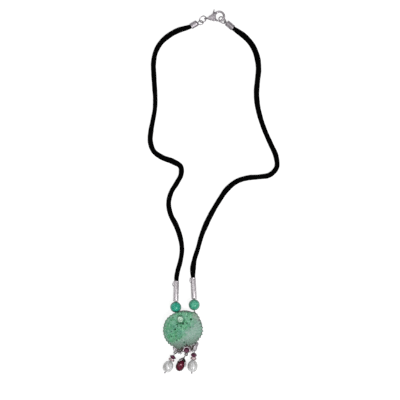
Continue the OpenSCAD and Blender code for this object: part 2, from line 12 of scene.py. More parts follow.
import bmesh
import bpy
import numpy as np
from bpy.types import Material, Mesh, Node, NodeSocket, NodeTree, Object
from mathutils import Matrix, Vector


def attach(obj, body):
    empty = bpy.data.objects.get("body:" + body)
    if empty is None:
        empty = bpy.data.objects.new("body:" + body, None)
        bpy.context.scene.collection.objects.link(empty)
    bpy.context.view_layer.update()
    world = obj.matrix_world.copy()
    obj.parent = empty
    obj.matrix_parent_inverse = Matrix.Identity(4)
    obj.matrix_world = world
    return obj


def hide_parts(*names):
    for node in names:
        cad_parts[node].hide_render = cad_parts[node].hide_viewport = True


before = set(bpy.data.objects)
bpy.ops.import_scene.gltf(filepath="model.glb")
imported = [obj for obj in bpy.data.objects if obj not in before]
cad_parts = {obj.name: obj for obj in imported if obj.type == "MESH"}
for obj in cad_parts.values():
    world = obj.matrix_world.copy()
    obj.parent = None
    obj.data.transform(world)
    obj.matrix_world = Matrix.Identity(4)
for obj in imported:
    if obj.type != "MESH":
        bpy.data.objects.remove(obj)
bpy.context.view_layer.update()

MM = 0.001
BODY = "necklace"
LEVER = "lever"

# The angle in degrees past which an edge stays sharp, on soldered, turned and cut work
SOLDERED = 40.0
TURNED = 50.0
FACETED = 0.0
# The least radius of a turned outline, which keeps its ends off the axis
SLIM = 1e-3
# Points of a wire ring, sides of a wire's section, and angles of the rows of its rounded end, in radians
RING_POINTS = 56
WIRE_SIDES = 14
ROUND_END = (0.45, 0.9, 1.25, 1.5)

log = logging.getLogger("necklace")
Row = Sequence[float]
Pair = tuple[float, float]
Point = tuple[float, float, float]
Quad = tuple[float, float, float, float]
Stop = tuple[float, str]


class Metal(Enum):
    """How the silver of a piece is finished."""

    BRUSHED = "brushed"
    FROSTED = "frosted"
    WORN = "worn"
    AGED = "aged"
    SATIN = "satin"
    OXIDISED = "oxidised"


# Geometry in millimetres


def vec(*values: float) -> np.ndarray:
    """A point or a direction as an array."""
    return np.array(values, dtype=float)


UP = vec(0, 0, 1)


def unit(v: np.ndarray) -> np.ndarray:
    """The direction of a vector."""
    return v / np.linalg.norm(v)


def smooth(t: np.ndarray | float) -> np.ndarray | float:
    """An ease from 0 to 1 as t goes from 0 to 1, flat outside."""
    s = np.clip(t, 0.0, 1.0)
    return s * s * (3.0 - 2.0 * s)


def across(direction: np.ndarray) -> tuple[np.ndarray, np.ndarray]:
    """Two directions at right angles to a given one and to each other.

    Args:
        direction: a unit vector.

    Returns:
        Two unit vectors that make a right-handed set with the direction.
    """
    helper = UP if abs(direction[2]) < 0.9 else vec(1, 0, 0)
    u = unit(np.cross(helper, direction))
    return u, np.cross(direction, u)


def even_angles(sides: int, lead: float = 0.0) -> np.ndarray:
    """Angles of even steps round a full turn, in radians, the first one lead steps on."""
    return (np.arange(sides) + lead) * 2 * math.pi / sides


def spokes(angles: np.ndarray, u: np.ndarray, v: np.ndarray) -> np.ndarray:
    """Unit directions at angles in the plane of two directions."""
    return np.cos(angles)[:, None] * u + np.sin(angles)[:, None] * v


def polar(radius: np.ndarray | float, degrees: np.ndarray) -> tuple[np.ndarray, np.ndarray]:
    """The x and y of points at a radius and at angles in degrees."""
    return radius * np.cos(np.radians(degrees)), radius * np.sin(np.radians(degrees))


def heading(degrees: float) -> Pair:
    """The x and y of the unit direction at an angle in degrees."""
    return math.cos(math.radians(degrees)), math.sin(math.radians(degrees))


def hanging(lean: float, rise: float) -> np.ndarray:
    """The direction of a drop.

    Args:
        lean: how far it points to the left of straight down, in degrees.
        rise: how far its tip points up from the table, in degrees.

    Returns:
        The unit direction.
    """
    down, left = heading(lean)
    level, up = heading(rise)
    return vec(-left * level, -down * level, up)


def eased_line(rows: Sequence[Row], step: float) -> np.ndarray:
    """A smooth line through rows, even where the rows are unevenly spaced.

    Args:
        rows: x, y and z of each point, and any further values that change along the line.
        step: distance between the points of the result.

    Returns:
        The points of the line, in rows of the same width.
    """
    # h are the gaps between rows, t how far along each row lies, d the slopes between rows, m those at them
    p = np.asarray(rows, dtype=float)
    h = np.linalg.norm(np.diff(p[:, :3], axis=0), axis=1)
    t = np.concatenate([[0.0], np.cumsum(h)])
    d = np.diff(p, axis=0) / h[:, None]
    m = np.empty_like(p)
    m[0], m[-1] = d[0], d[-1]
    m[1:-1] = (d[:-1] * h[1:, None] + d[1:] * h[:-1, None]) / (h[1:] + h[:-1])[:, None]
    s = np.linspace(0.0, t[-1], max(2, round(t[-1] / step)) + 1)
    i = np.clip(np.searchsorted(t, s, "right") - 1, 0, len(h) - 1)
    u = ((s - t[i]) / h[i])[:, None]
    span = h[i][:, None]
    return (
        (2 * u**3 - 3 * u**2 + 1) * p[i]
        + (u**3 - 2 * u**2 + u) * span * m[i]
        + (3 * u**2 - 2 * u**3) * p[i + 1]
        + (u**3 - u**2) * span * m[i + 1]
    )


def length_of(line: np.ndarray) -> float:
    """The length of a line of points."""
    return float(np.linalg.norm(np.diff(line[:, :3], axis=0), axis=1).sum())


def arc(centre: Row, radius: float, start: float, end: float, tilt: float = 0.0, turn: float = 0.0,
        count: int = 24) -> np.ndarray:
    """Points of a circle or a part of one.

    Args:
        centre: the middle of the circle.
        radius: its radius.
        start: the angle of the first point, in degrees.
        end: the angle of the last point, in degrees.
        tilt: how far the circle leans from flat, in degrees.
        turn: the direction in which it leans, in degrees.
        count: the number of points.

    Returns:
        The points, in rows.
    """
    a = np.radians(np.linspace(start, end, count))
    t, z = math.radians(tilt), math.radians(turn)
    u = vec(math.cos(t) * math.cos(z), math.cos(t) * math.sin(z), -math.sin(t))
    v = vec(-math.sin(z), math.cos(z), 0.0)
    return np.asarray(centre, dtype=float) + radius * spokes(a, u, v)


class Shell:
    """Gathers closed surfaces and turns them into one mesh object."""

    def __init__(self) -> None:
        """Starts with no surface."""
        self.points: list[np.ndarray] = []
        self.faces: list[tuple[int, ...]] = []
        self.uvs: list[Pair] = []
        self.count = 0

    def add(self, points: np.ndarray, faces: Sequence[Sequence[int]]) -> None:
        """Adds one surface.

        Args:
            points: its points.
            faces: its faces, as numbers of its own points.
        """
        self.points.append(np.asarray(points, dtype=float))
        self.faces += [tuple(k + self.count for k in face) for face in faces]
        self.count += len(points)

    def skin(self, rings: np.ndarray, looped: bool = False) -> None:
        """Adds a surface over rings of points, closed by a fan at each end or looped back.

        Args:
            rings: the points, ring by ring.
            looped: whether the last ring joins the first one.
        """
        # n rings of k points each
        n, k = rings.shape[:2]
        flat = rings.reshape(-1, 3)
        faces = []
        for i in range(n if looped else n - 1):
            j = (i + 1) % n
            faces += [(i * k + a, i * k + (a + 1) % k, j * k + (a + 1) % k, j * k + a) for a in range(k)]
        if not looped:
            flat = np.vstack([flat, rings[0].mean(axis=0), rings[-1].mean(axis=0)])
            first, last = n * k, n * k + 1
            faces += [(first, (a + 1) % k, a) for a in range(k)]
            faces += [(last, (n - 1) * k + a, (n - 1) * k + (a + 1) % k) for a in range(k)]
        self.add(flat, faces)

    def turned(self, profile: Sequence[Pair], origin: Row, direction: np.ndarray, sides: int,
               looped: bool = False) -> None:
        """Adds a turned surface.

        Args:
            profile: radius and height of each point of the outline, from one end to the other.
            origin: where height 0 lies.
            direction: the way in which height grows.
            sides: the number of sides round the axis.
            looped: whether the outline closes on itself, as that of a tube with a bore does.
        """
        axis = unit(np.asarray(direction, dtype=float))
        circle = spokes(even_angles(sides), *across(axis))
        base = np.asarray(origin, dtype=float)
        self.skin(np.array([base + axis * h + circle * max(r, SLIM) for r, h in profile]), looped)

    def gem(self, rows: Sequence[Pair], origin: Row, direction: np.ndarray, sides: int,
            hole: float = 0.0) -> None:
        """Adds a cut stone of flat facets, whose rows stand half a facet apart.

        Args:
            rows: radius and height of each row of corners, from one end to the other.
            origin: where height 0 lies.
            direction: the way in which height grows.
            sides: the number of facets round the stone.
            hole: the radius of a hole along the axis, or 0 for none.
        """
        axis = unit(np.asarray(direction, dtype=float))
        u, v = across(axis)
        base = np.asarray(origin, dtype=float)
        corners = list(rows)
        if hole:
            corners = [(hole, rows[0][1]), *rows, (hole, rows[-1][1])]
        points, faces = [], []
        for i, (r, h) in enumerate(corners):
            points.append(base + axis * h + r * spokes(even_angles(sides, 0.5 * (i % 2)), u, v))
        for i in range(len(corners) - 1):
            lead = 1 - i % 2
            for k in range(sides):
                m = (k + 1) % sides
                a, b, c, d = i * sides + k, i * sides + m, (i + 1) * sides + k, (i + 1) * sides + m
                faces += [(a, b, c), (b, d, c)] if lead else [(a, b, d), (a, d, c)]
        flat = np.vstack(points)
        last = (len(corners) - 1) * sides
        if hole:
            for k in range(sides):
                m = (k + 1) % sides
                faces.append((k, m, last + m, last + k))
        else:
            faces.append(tuple(range(sides)))
            faces.append(tuple(range(last, last + sides)))
        self.add(flat, faces)

    def mesh(self, name: str) -> Mesh:
        """Makes the plain mesh.

        Args:
            name: the mesh's name.

        Returns:
            The mesh, in metres and in place.
        """
        mesh = bpy.data.meshes.new(name)
        mesh.from_pydata((np.vstack(self.points) * MM).tolist(), [], self.faces)
        return mesh

    def build(self, name: str, material: Material, sharp: float | None = None) -> Object:
        """Makes the object, with its faces outwards.

        Args:
            name: the piece's name.
            material: its finish.
            sharp: the angle past which an edge stays sharp, FACETED for flat facets, or None for none.

        Returns:
            The finished object, at the origin.
        """
        mesh = self.mesh(name)
        if self.uvs:
            layer = mesh.uv_layers.new(name="UVMap")
            layer.data.foreach_set("uv", [c for uv in self.uvs for c in uv])
        return finished(name, mesh, material, sharp)


def finished(name: str, mesh: Mesh, material: Material, sharp: float | None = None,
             turn: bool = True) -> Object:
    """Gives a mesh its finish, smooths it and puts it in the scene.

    Args:
        name: the piece's name.
        mesh: the mesh, in metres and in place.
        material: its finish.
        sharp: the angle past which an edge stays sharp, FACETED for flat facets, or None for none.
        turn: whether the faces are turned outwards.

    Returns:
        The object, at the origin.
    """
    if turn:
        work = bmesh.new()
        work.from_mesh(mesh)
        bmesh.ops.recalc_face_normals(work, faces=work.faces)
        work.to_mesh(mesh)
        work.free()
    mesh.name = name
    mesh.materials.clear()
    mesh.materials.append(material)
    if sharp == FACETED:
        mesh.shade_flat()
    else:
        mesh.shade_smooth()
    if sharp:
        mesh.set_sharp_from_angle(angle=math.radians(sharp))
    piece = bpy.data.objects.new(name, mesh)
    bpy.context.scene.collection.objects.link(piece)
    return piece


def place(piece: Object, nodes: Sequence[str] = (), body: str = BODY) -> None:
    """Fixes a finished piece to a body and reports it.

    Args:
        piece: the finished object.
        nodes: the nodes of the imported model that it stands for.
        body: the body that it rides on.
    """
    if nodes:
        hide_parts(*nodes)
    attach(piece, body)
    log.info("%s: %d faces, rides on %s", piece.name, len(piece.data.polygons), body)


# Wire that follows a path


@dataclass
class Wire:
    """One wire of a piece: its path, its thickness along the path, and whether it closes on itself."""

    path: np.ndarray
    radii: np.ndarray
    closed: bool = False

    @classmethod
    def even(cls, path: np.ndarray, wire: float, closed: bool = False) -> "Wire":
        """A wire of the same thickness all along a path."""
        return cls(path, np.full(len(path), wire / 2), closed)

    @classmethod
    def ring(cls, centre: Row, radius: float, wire: float, tilt: float = 0.0, turn: float = 0.0) -> "Wire":
        """A closed round ring.

        Args:
            centre: its middle.
            radius: its mean radius.
            wire: the thickness of its wire.
            tilt: how far it leans from flat, in degrees.
            turn: the direction in which it leans, in degrees.

        Returns:
            The wire.
        """
        return cls.even(arc(centre, radius, 0, 360, tilt, turn, count=RING_POINTS + 1)[:-1], wire, True)

    @classmethod
    def along(cls, rows: Sequence[Row], step: float = 0.12) -> "Wire":
        """An open wire with rounded ends.

        Args:
            rows: x, y, z and thickness at each point that it passes.
            step: distance between the points of the result.

        Returns:
            The wire.
        """
        line = eased_line(rows, step)
        path, radii = line[:, :3], line[:, 3] / 2
        caps = []
        for end, inner in ((0, 1), (-1, -2)):
            way, r = unit(path[end] - path[inner]), radii[end]
            caps.append([(path[end] + way * r * math.sin(a), r * math.cos(a)) for a in ROUND_END])
        start, stop = caps[0][::-1], caps[1]
        path = np.vstack([[p for p, _ in start], path, [p for p, _ in stop]])
        radii = np.concatenate([[r for _, r in start], radii, [r for _, r in stop]])
        return cls(path, radii)


def wire_tree() -> NodeTree:
    """The node tree that gives every wire of the necklace its round section.

    Returns:
        A tree with the inputs Geometry, Sides, Thickness and Finish.
    """
    tree = bpy.data.node_groups.new("DrawnWire", "GeometryNodeTree")
    face = tree.interface
    kinds = {"Geometry": "Geometry", "Sides": "Int", "Thickness": "Float", "Finish": "Material"}
    for name, kind in kinds.items():
        face.new_socket(name, in_out="INPUT", socket_type=f"NodeSocket{kind}")
    face.new_socket("Geometry", in_out="OUTPUT", socket_type="NodeSocketGeometry")
    inputs, result = tree.nodes.new("NodeGroupInput"), tree.nodes.new("NodeGroupOutput")
    section = tree.nodes.new("GeometryNodeCurvePrimitiveCircle")
    section.inputs["Radius"].default_value = 1.0
    radius = tree.nodes.new("GeometryNodeInputRadius")
    scale = tree.nodes.new("ShaderNodeMath")
    scale.operation = "MULTIPLY"
    sweep = tree.nodes.new("GeometryNodeCurveToMesh")
    sweep.inputs["Fill Caps"].default_value = True
    realize = tree.nodes.new("GeometryNodeRealizeInstances")
    dress = tree.nodes.new("GeometryNodeSetMaterial")
    for a, b in (
        (inputs.outputs["Geometry"], sweep.inputs["Curve"]),
        (inputs.outputs["Sides"], section.inputs["Resolution"]),
        (section.outputs["Curve"], sweep.inputs["Profile Curve"]),
        (radius.outputs["Radius"], scale.inputs[0]),
        (inputs.outputs["Thickness"], scale.inputs[1]),
        (scale.outputs[0], sweep.inputs["Scale"]),
        (sweep.outputs["Mesh"], realize.inputs["Geometry"]),
        (realize.outputs["Geometry"], dress.inputs["Geometry"]),
        (inputs.outputs["Finish"], dress.inputs["Material"]),
        (dress.outputs["Geometry"], result.inputs["Geometry"]),
    ):
        tree.links.new(a, b)
    return tree


WIRE_TREE = wire_tree()


def baked(source: Object) -> Mesh:
    """The plain mesh that an object in the scene gets from its modifiers."""
    graph = bpy.context.evaluated_depsgraph_get()
    return bpy.data.meshes.new_from_object(source.evaluated_get(graph))


def evaluated(source: Object, tree: NodeTree, values: dict[str, object]) -> Mesh:
    """Runs a node tree on an object and returns the plain mesh that it makes.

    Args:
        source: the object that the tree reads, which is deleted afterwards.
        tree: the node tree.
        values: the value of each named input of the tree.

    Returns:
        The mesh, with nothing live left on it.
    """
    bpy.context.scene.collection.objects.link(source)
    modifier = source.modifiers.new(tree.name, "NODES")
    modifier.node_group = tree
    sockets = {s.name: s.identifier for s in tree.interface.items_tree if s.in_out == "INPUT"}
    for name, value in values.items():
        modifier[sockets[name]] = value
    mesh = baked(source)
    source.modifiers.remove(modifier)
    bpy.data.objects.remove(source)
    return mesh


def wire_mesh(wires: Sequence[Wire], material: Material) -> Mesh:
    """Draws wires as one mesh.

    Args:
        wires: the wires.
        material: their finish.

    Returns:
        The mesh, in metres and in place.
    """
    curve = bpy.data.curves.new("wire_paths", "CURVE")
    curve.dimensions = "3D"
    for wire in wires:
        spline = curve.splines.new("POLY")
        spline.points.add(len(wire.path) - 1)
        flat = np.column_stack([wire.path * MM, np.ones(len(wire.path))])
        spline.points.foreach_set("co", flat.ravel())
        spline.points.foreach_set("radius", wire.radii)
        spline.use_cyclic_u = wire.closed
    source = bpy.data.objects.new("wire_paths", curve)
    mesh = evaluated(source, WIRE_TREE, {"Sides": WIRE_SIDES, "Thickness": MM, "Finish": material})
    bpy.data.curves.remove(curve)
    return mesh


def joined(name: str, material: Material, wires: Sequence[Wire],
           solid: Shell | None = None) -> Object:
    """Makes one object of wires and of what is soldered to them.

    Args:
        name: the piece's name.
        material: its finish.
        wires: its wires.
        solid: its other surfaces.

    Returns:
        The finished object.
    """
    work = bmesh.new()
    work.from_mesh(wire_mesh(wires, material))
    mesh = bpy.data.meshes.new(name) if solid is None else solid.mesh(name)
    if solid is not None:
        work.from_mesh(mesh)
    work.to_mesh(mesh)
    work.free()
    return finished(name, mesh, material, SOLDERED)


# Finishes


class Recipe:
    """Builds one node-based material, with positions read in millimetres of the necklace's frame."""

    def __init__(self, name: str) -> None:
        """Starts a material with its shader.

        Args:
            name: the material's name.
        """
        self.material = bpy.data.materials.new(name)
        self.material.use_nodes = True
        self.tree = self.material.node_tree
        self.shader = self.tree.nodes["Principled BSDF"]
        coords = self.tree.nodes.new("ShaderNodeTexCoord")
        self.uv = coords.outputs["UV"]
        self.normal = coords.outputs["Normal"]
        self.mm = self.vector("SCALE", coords.outputs["Object"], scale=1.0 / MM)

    def node(self, kind: str, **inputs: object) -> Node:
        """Adds a node and fills or links its inputs.

        Args:
            kind: the node's type, without its prefix.
            inputs: a value or a socket for each input, by name with _ for a space.

        Returns:
            The node.
        """
        made = self.tree.nodes.new(f"ShaderNode{kind}")
        for name, value in inputs.items():
            self.feed(made.inputs[name.replace("_", " ")], value)
        return made

    def feed(self, socket: NodeSocket, value: object) -> None:
        """Links a socket to another or sets its value.

        Args:
            socket: the input that is filled.
            value: a socket to link it to, or a plain value.
        """
        if isinstance(value, NodeSocket):
            self.tree.links.new(value, socket)
        else:
            socket.default_value = value

    def vector(self, operation: str, a: object, b: object = None,
               scale: float | None = None) -> NodeSocket:
        """One vector operation.

        Args:
            operation: its name.
            a: the first vector.
            b: the second vector.
            scale: the factor of SCALE.

        Returns:
            The result.
        """
        made = self.tree.nodes.new("ShaderNodeVectorMath")
        made.operation = operation
        self.feed(made.inputs[0], a)
        if b is not None:
            self.feed(made.inputs[1], b)
        if scale is not None:
            made.inputs["Scale"].default_value = scale
        return made.outputs["Value" if operation == "DOT_PRODUCT" else "Vector"]

    def math(self, operation: str, a: object, b: object = 0.0, clamp: bool = False) -> NodeSocket:
        """One sum, product or other operation on numbers.

        Args:
            operation: its name.
            a: the first number.
            b: the second number, where it takes one.
            clamp: whether the result is kept between 0 and 1.

        Returns:
            The result.
        """
        made = self.tree.nodes.new("ShaderNodeMath")
        made.operation, made.use_clamp = operation, clamp
        self.feed(made.inputs[0], a)
        self.feed(made.inputs[1], b)
        return made.outputs[0]

    def times(self, a: object, b: object) -> NodeSocket:
        """The product of two numbers."""
        return self.math("MULTIPLY", a, b)

    def blend(self, a: object, b: object, share: float) -> NodeSocket:
        """The mean of two numbers, with the share that the first one has in it."""
        return self.math("ADD", self.times(a, share), self.times(b, 1 - share))

    def span(self, value: object, low: float, high: float) -> NodeSocket:
        """Eases a number.

        Args:
            value: the number.
            low: where the result is 0.
            high: where the result is 1.

        Returns:
            The result.
        """
        made = self.node("MapRange", Value=value, From_Min=low, From_Max=high)
        made.interpolation_type = "SMOOTHSTEP"
        return made.outputs[0]

    def spread(self, value: object, low: float, high: float, first: float = 0.0,
               last: float = 1.0) -> NodeSocket:
        """Spreads a number evenly over a range.

        Args:
            value: the number.
            low: the result at first.
            high: the result at last.
            first: the number's least value.
            last: its greatest value.

        Returns:
            The result.
        """
        made = self.node("MapRange", Value=value, From_Min=first, From_Max=last, To_Min=low, To_Max=high)
        return made.outputs[0]

    def noise(self, scale: float, detail: float = 3.0, distortion: float = 0.0,
              stretch: Point | None = None) -> NodeSocket:
        """Noise that lies fixed in the necklace's frame.

        Args:
            scale: features a millimetre.
            detail: how many finer layers it has.
            distortion: how far it is bent.
            stretch: factors by which the coordinates are scaled first.

        Returns:
            The noise, about 0.5 on average.
        """
        source = self.mm if stretch is None else self.vector("MULTIPLY", self.mm, stretch)
        made = self.node("TexNoise", Vector=source, Scale=scale, Detail=detail, Distortion=distortion)
        return made.outputs[0]

    def shades(self, value: object, *stops: Stop) -> NodeSocket:
        """Colours by a number.

        Args:
            value: the number.
            stops: the place and the colour of each stop.

        Returns:
            The colour.
        """
        made = self.node("ValToRGB", Fac=value)
        ramp = made.color_ramp
        ramp.elements[0].position, ramp.elements[-1].position = stops[0][0], stops[-1][0]
        for position, _ in stops[1:-1]:
            ramp.elements.new(position)
        for element, (_, colour) in zip(ramp.elements, stops):
            element.color = linear(colour)
        return made.outputs[0]

    def mix(self, factor: object, a: object, b: object) -> NodeSocket:
        """Mixes two colours.

        Args:
            factor: 0 for the first colour, 1 for the second one.
            a: the first colour.
            b: the second colour.

        Returns:
            The mixed colour.
        """
        made = self.tree.nodes.new("ShaderNodeMix")
        made.data_type = "RGBA"
        # This node has sockets for every kind of value: 0 is the factor, and 6 and 7 are the two colours
        for index, value in ((0, factor), (6, a), (7, b)):
            self.feed(made.inputs[index], linear(value) if isinstance(value, str) else value)
        return made.outputs[2]

    def tint(self, body: object, colour: str, where: object, strength: float) -> NodeSocket:
        """Lays a colour over a body, as strong as given, where a number is 1."""
        return self.mix(self.times(where, strength), body, colour)

    def lie(self, low: float, high: float) -> NodeSocket:
        """How far the surface lies face up: 0 where its normal's Z is low, 1 where it is high."""
        return self.span(self.node("SeparateXYZ", Vector=self.normal).outputs[2], low, high)

    def relief(self, height: object, depth: float) -> None:
        """Bumps the surface by a height, with its depth in millimetres."""
        made = self.node("Bump", Height=height, Distance=depth * MM)
        self.feed(self.shader.inputs["Normal"], made.outputs[0])

    def set(self, **inputs: object) -> None:
        """Sets or links inputs of the shader, by name with _ for a space."""
        for name, value in inputs.items():
            self.feed(self.shader.inputs[name.replace("_", " ")], value)


def linear(colour: str) -> Quad:
    """A screen colour as the renderer's linear numbers.

    Args:
        colour: six hexadecimal digits.

    Returns:
        Red, green, blue and full opacity.
    """
    parts = [int(colour[i:i + 2], 16) / 255 for i in (0, 2, 4)]
    r, g, b = (c / 12.92 if c <= 0.04045 else ((c + 0.055) / 1.055) ** 2.4 for c in parts)
    return r, g, b, 1.0


@dataclass(frozen=True)
class SilverFinish:
    """Silver, from freshly polished to blackened, with painted shade on its sides and underneath."""

    metal: Metal
    light: str
    dark: str
    side_shade: str
    roughness: float
    dents: float = 0.05

    def build(self) -> Material:
        """Builds cloudy tone, fine hand polish, small dents, and painted shade where the surface turns away
        from face up.

        Returns:
            The material.
        """
        r = Recipe(f"silver_{self.metal.value}")
        cloud = r.noise(0.9, 4.0)
        scratch = r.noise(2.6, 2.0, stretch=(1.0, 7.0, 3.0))
        cloud_tone = r.shades(cloud, (0.35, self.dark), (0.62, self.light))
        # Painted shade: a darker colour is laid on the sides and underneath, where the surface turns away
        # from face up
        r.set(Base_Color=r.mix(r.lie(0.05, 0.7), self.side_shade, cloud_tone), Metallic=1.0)
        r.set(Specular_Tint=linear(self.dark))
        r.set(Roughness=r.spread(scratch, self.roughness * 0.7, self.roughness * 1.6, 0.3, 0.7))
        r.relief(r.blend(cloud, scratch, 0.7), self.dents)
        return r.material


@dataclass(frozen=True)
class JadeFinish:
    """Mottled jade: green left, grey-green right, brown skin on one corner, with painted shade in its pits,
    notches, rim and sides and round the stud, and painted highlights on its raised carving.
    """

    rough: Pair = (0.42, 0.6)
    greens: tuple[Stop, ...] = ((0.34, "3F8E66"), (0.46, "4E9C72"), (0.55, "5AAA7A"), (0.68, "7CC39A"))
    greys: tuple[Stop, ...] = ((0.34, "7FA091"), (0.5, "8FB0A1"), (0.68, "9DBBAE"))
    # The way down the stone, and where along it the foot is dull and the head is light
    down: Point = (0.2, -0.98, 0.0)
    foot: Pair = (87.0, 95.5)
    head: Pair = (80.0, 72.0)
    # The brown skin: the way out to its corner and the way along the edge, its middle on the latter,
    # where it sets in on the first, its half width fading out and full, and its streaks
    skin_out: Point = (0.62, 0.78, 0.0)
    skin_along: Point = (0.78, -0.62, 0.0)
    skin_middle: float = 48.1
    skin_start: Pair = (-65.6, -63.2)
    skin_half: Pair = (4.4, 2.0)
    streaks: float = 6.5

    def skin(self, r: Recipe, fine: NodeSocket) -> NodeSocket:
        """How much of the stone's brown skin is left, broken up and in streaks.

        Args:
            r: the material in the making.
            fine: the stone's fine noise, which breaks the skin up.

        Returns:
            The share of the skin's colour.
        """
        out = r.vector("DOT_PRODUCT", r.mm, self.skin_out)
        aside = r.math("ADD", r.vector("DOT_PRODUCT", r.mm, self.skin_along), -self.skin_middle)
        streak = r.math("ADD", r.times(r.math("SINE", r.times(out, self.streaks)), 0.3), 0.65)
        patch = r.times(r.span(out, *self.skin_start), r.span(r.math("ABSOLUTE", aside), *self.skin_half))
        return r.times(r.times(patch, r.span(fine, 0.4, 0.56)), streak)

    def build(self) -> Material:
        """Builds the stone from noise, and from the marks that the carving leaves on it, which carry its
        painted shade and painted highlights.

        Returns:
            The material.
        """
        r = Recipe("jade")
        mottle = r.noise(0.6, 4.0, distortion=0.5)
        fine = r.noise(1.7, 3.0)
        tone = r.blend(mottle, fine, 0.65)
        # The carving's marks: painted shade in the pits and round the stud, painted highlights on the raised
        # carving, painted shade in the notches and at the rim, and in alpha how grey
        marks = r.node("Attribute")
        marks.attribute_name = "carving"
        deep, highlight, notch_shade = r.node("SeparateColor", Color=marks.outputs["Color"]).outputs
        green = r.tint(r.shades(tone, *self.greens), "5E9F8C", r.span(r.noise(0.22, 2.0), 0.48, 0.62), 0.55)
        patches = r.times(r.math("SUBTRACT", r.noise(0.5, 3.0, distortion=0.8), 0.5), 2.2)
        half = r.math("ADD", marks.outputs["Alpha"], patches, clamp=True)
        body = r.mix(half, green, r.shades(tone, *self.greys))
        low = r.vector("DOT_PRODUCT", r.mm, self.down)
        body = r.tint(body, "697A6E", r.span(low, *self.foot), 0.85)
        body = r.tint(body, "83C29E", r.span(low, *self.head), 0.5)
        body = r.mix(self.skin(r, fine), body, "B5AEA9")
        # Painted shade in the pits, round the stud, in the notches and at the rim, and painted highlights on
        # the raised carving
        tints = (("17533A", deep, 0.9), ("A9E2C0", highlight, 0.7), ("4A4F48", notch_shade, 0.9))
        for colour, where, strength in tints:
            body = r.tint(body, colour, where, strength)
        # Painted shade: a dark green is laid on the sides, where the stone turns away from face up
        r.set(Base_Color=r.mix(r.lie(0.0, 0.6), "38463E", body), Roughness=r.spread(mottle, *self.rough))
        r.set(Subsurface_Weight=0.18, Subsurface_Radius=(0.5, 1.0, 0.7), Subsurface_Scale=0.0012, IOR=1.6)
        r.set(Coat_Weight=0.06, Coat_Roughness=0.3, Specular_IOR_Level=0.3)
        r.relief(r.noise(1.6, 5.0), 0.05)
        return r.material


@dataclass(frozen=True)
class BeadFinish:
    """Polished blue-green stone with clouds in it, and painted shade at its rim."""

    name: str
    dark: str
    main: str
    light: str
    rim_shade: str

    def build(self) -> Material:
        """Builds two sizes of cloud under a clear polish, with painted shade where the bead turns away from
        face up.

        Returns:
            The material.
        """
        r = Recipe(self.name)
        cloud = r.noise(0.42, 5.0, distortion=1.2)
        fine = r.noise(1.8, 3.0)
        stone = r.shades(r.blend(cloud, fine, 0.8), (0.36, self.dark), (0.5, self.main), (0.66, self.light))
        # Painted shade: a dark colour is laid where the bead turns away from face up
        r.set(Base_Color=r.mix(r.lie(0.05, 0.85), self.rim_shade, stone), Roughness=r.spread(fine, 0.2, 0.32))
        r.set(Subsurface_Weight=0.25, Subsurface_Radius=(0.3, 1.0, 0.8), Subsurface_Scale=0.001)
        r.set(Coat_Weight=0.12, Coat_Roughness=0.2, Specular_IOR_Level=0.35)
        r.relief(fine, 0.02)
        return r.material


@dataclass(frozen=True)
class GemFinish:
    """Clear cut stone with painted shade where it turns down, and a painted highlight in it where one is
    given.
    """

    name: str
    deep: str
    bright: str
    clear: float
    ior: float = 1.76
    # The colour of the painted shade where the stone turns down
    edge: str = "14020A"
    gloss: float = 0.03
    turned: Pair = (0.1, 0.75)
    shine: float = 0.5
    # Middle and radius of the painted highlight, a light that a facet would return
    facet_highlight: Quad | None = None

    def build(self) -> Material:
        """Builds body colour with veils, painted shade where the stone turns down, a painted highlight where
        one is given, and a sharp polish.

        Returns:
            The material.
        """
        r = Recipe(self.name)
        veil = r.noise(0.9, 3.0, distortion=0.8)
        body = r.shades(veil, (0.35, self.deep), (0.68, self.bright))
        # Painted shade: the darker colour is laid where the stone turns away from face up
        body = r.mix(r.lie(*self.turned), self.edge, body)
        # Painted highlight: a pale pink spot where a facet would return the light
        if self.facet_highlight is not None:
            *middle, radius = self.facet_highlight
            away = r.node("VectorMath", Vector=r.vector("SUBTRACT", r.mm, middle))
            away.operation = "LENGTH"
            body = r.mix(r.span(away.outputs["Value"], radius, 0.3 * radius), body, "F7B4C4")
        r.set(Base_Color=body, Roughness=r.spread(r.noise(3.0, 2.0), self.gloss, self.gloss + 0.09))
        r.set(Transmission_Weight=self.clear, IOR=self.ior, Specular_IOR_Level=self.shine)
        r.set(Coat_Weight=0.4 * self.shine, Coat_Roughness=0.03)
        return r.material


@dataclass(frozen=True)
class PearlFinish:
    """Grey-white nacre with faint growth bands and painted shade at its rim."""

    light: str = "F0F0F3"
    middle: str = "D2D2D1"
    band: str = "B9B8B6"
    # The colour of the painted shade at the pearl's rim
    rim: str = "7E7D7C"

    def build(self) -> Material:
        """Builds bands across the pearl, soft clouds, and painted shade at its rim.

        Returns:
            The material.
        """
        r = Recipe("pearl")
        bands = r.noise(0.62, 2.0, stretch=(1.5, 0.4, 1.2), distortion=0.4)
        tone = r.blend(bands, r.noise(0.35, 4.0), 0.7)
        nacre = r.shades(tone, (0.4, self.band), (0.5, self.middle), (0.6, self.light))
        # Painted shade: the rim colour is laid where the pearl turns away from face up
        r.set(Base_Color=r.mix(r.lie(-0.1, 0.7), self.rim, nacre), Metallic=0.1)
        r.set(Roughness=r.spread(bands, 0.2, 0.34), Coat_Weight=0.2, Coat_Roughness=0.18)
        r.relief(tone, 0.05)
        return r.material


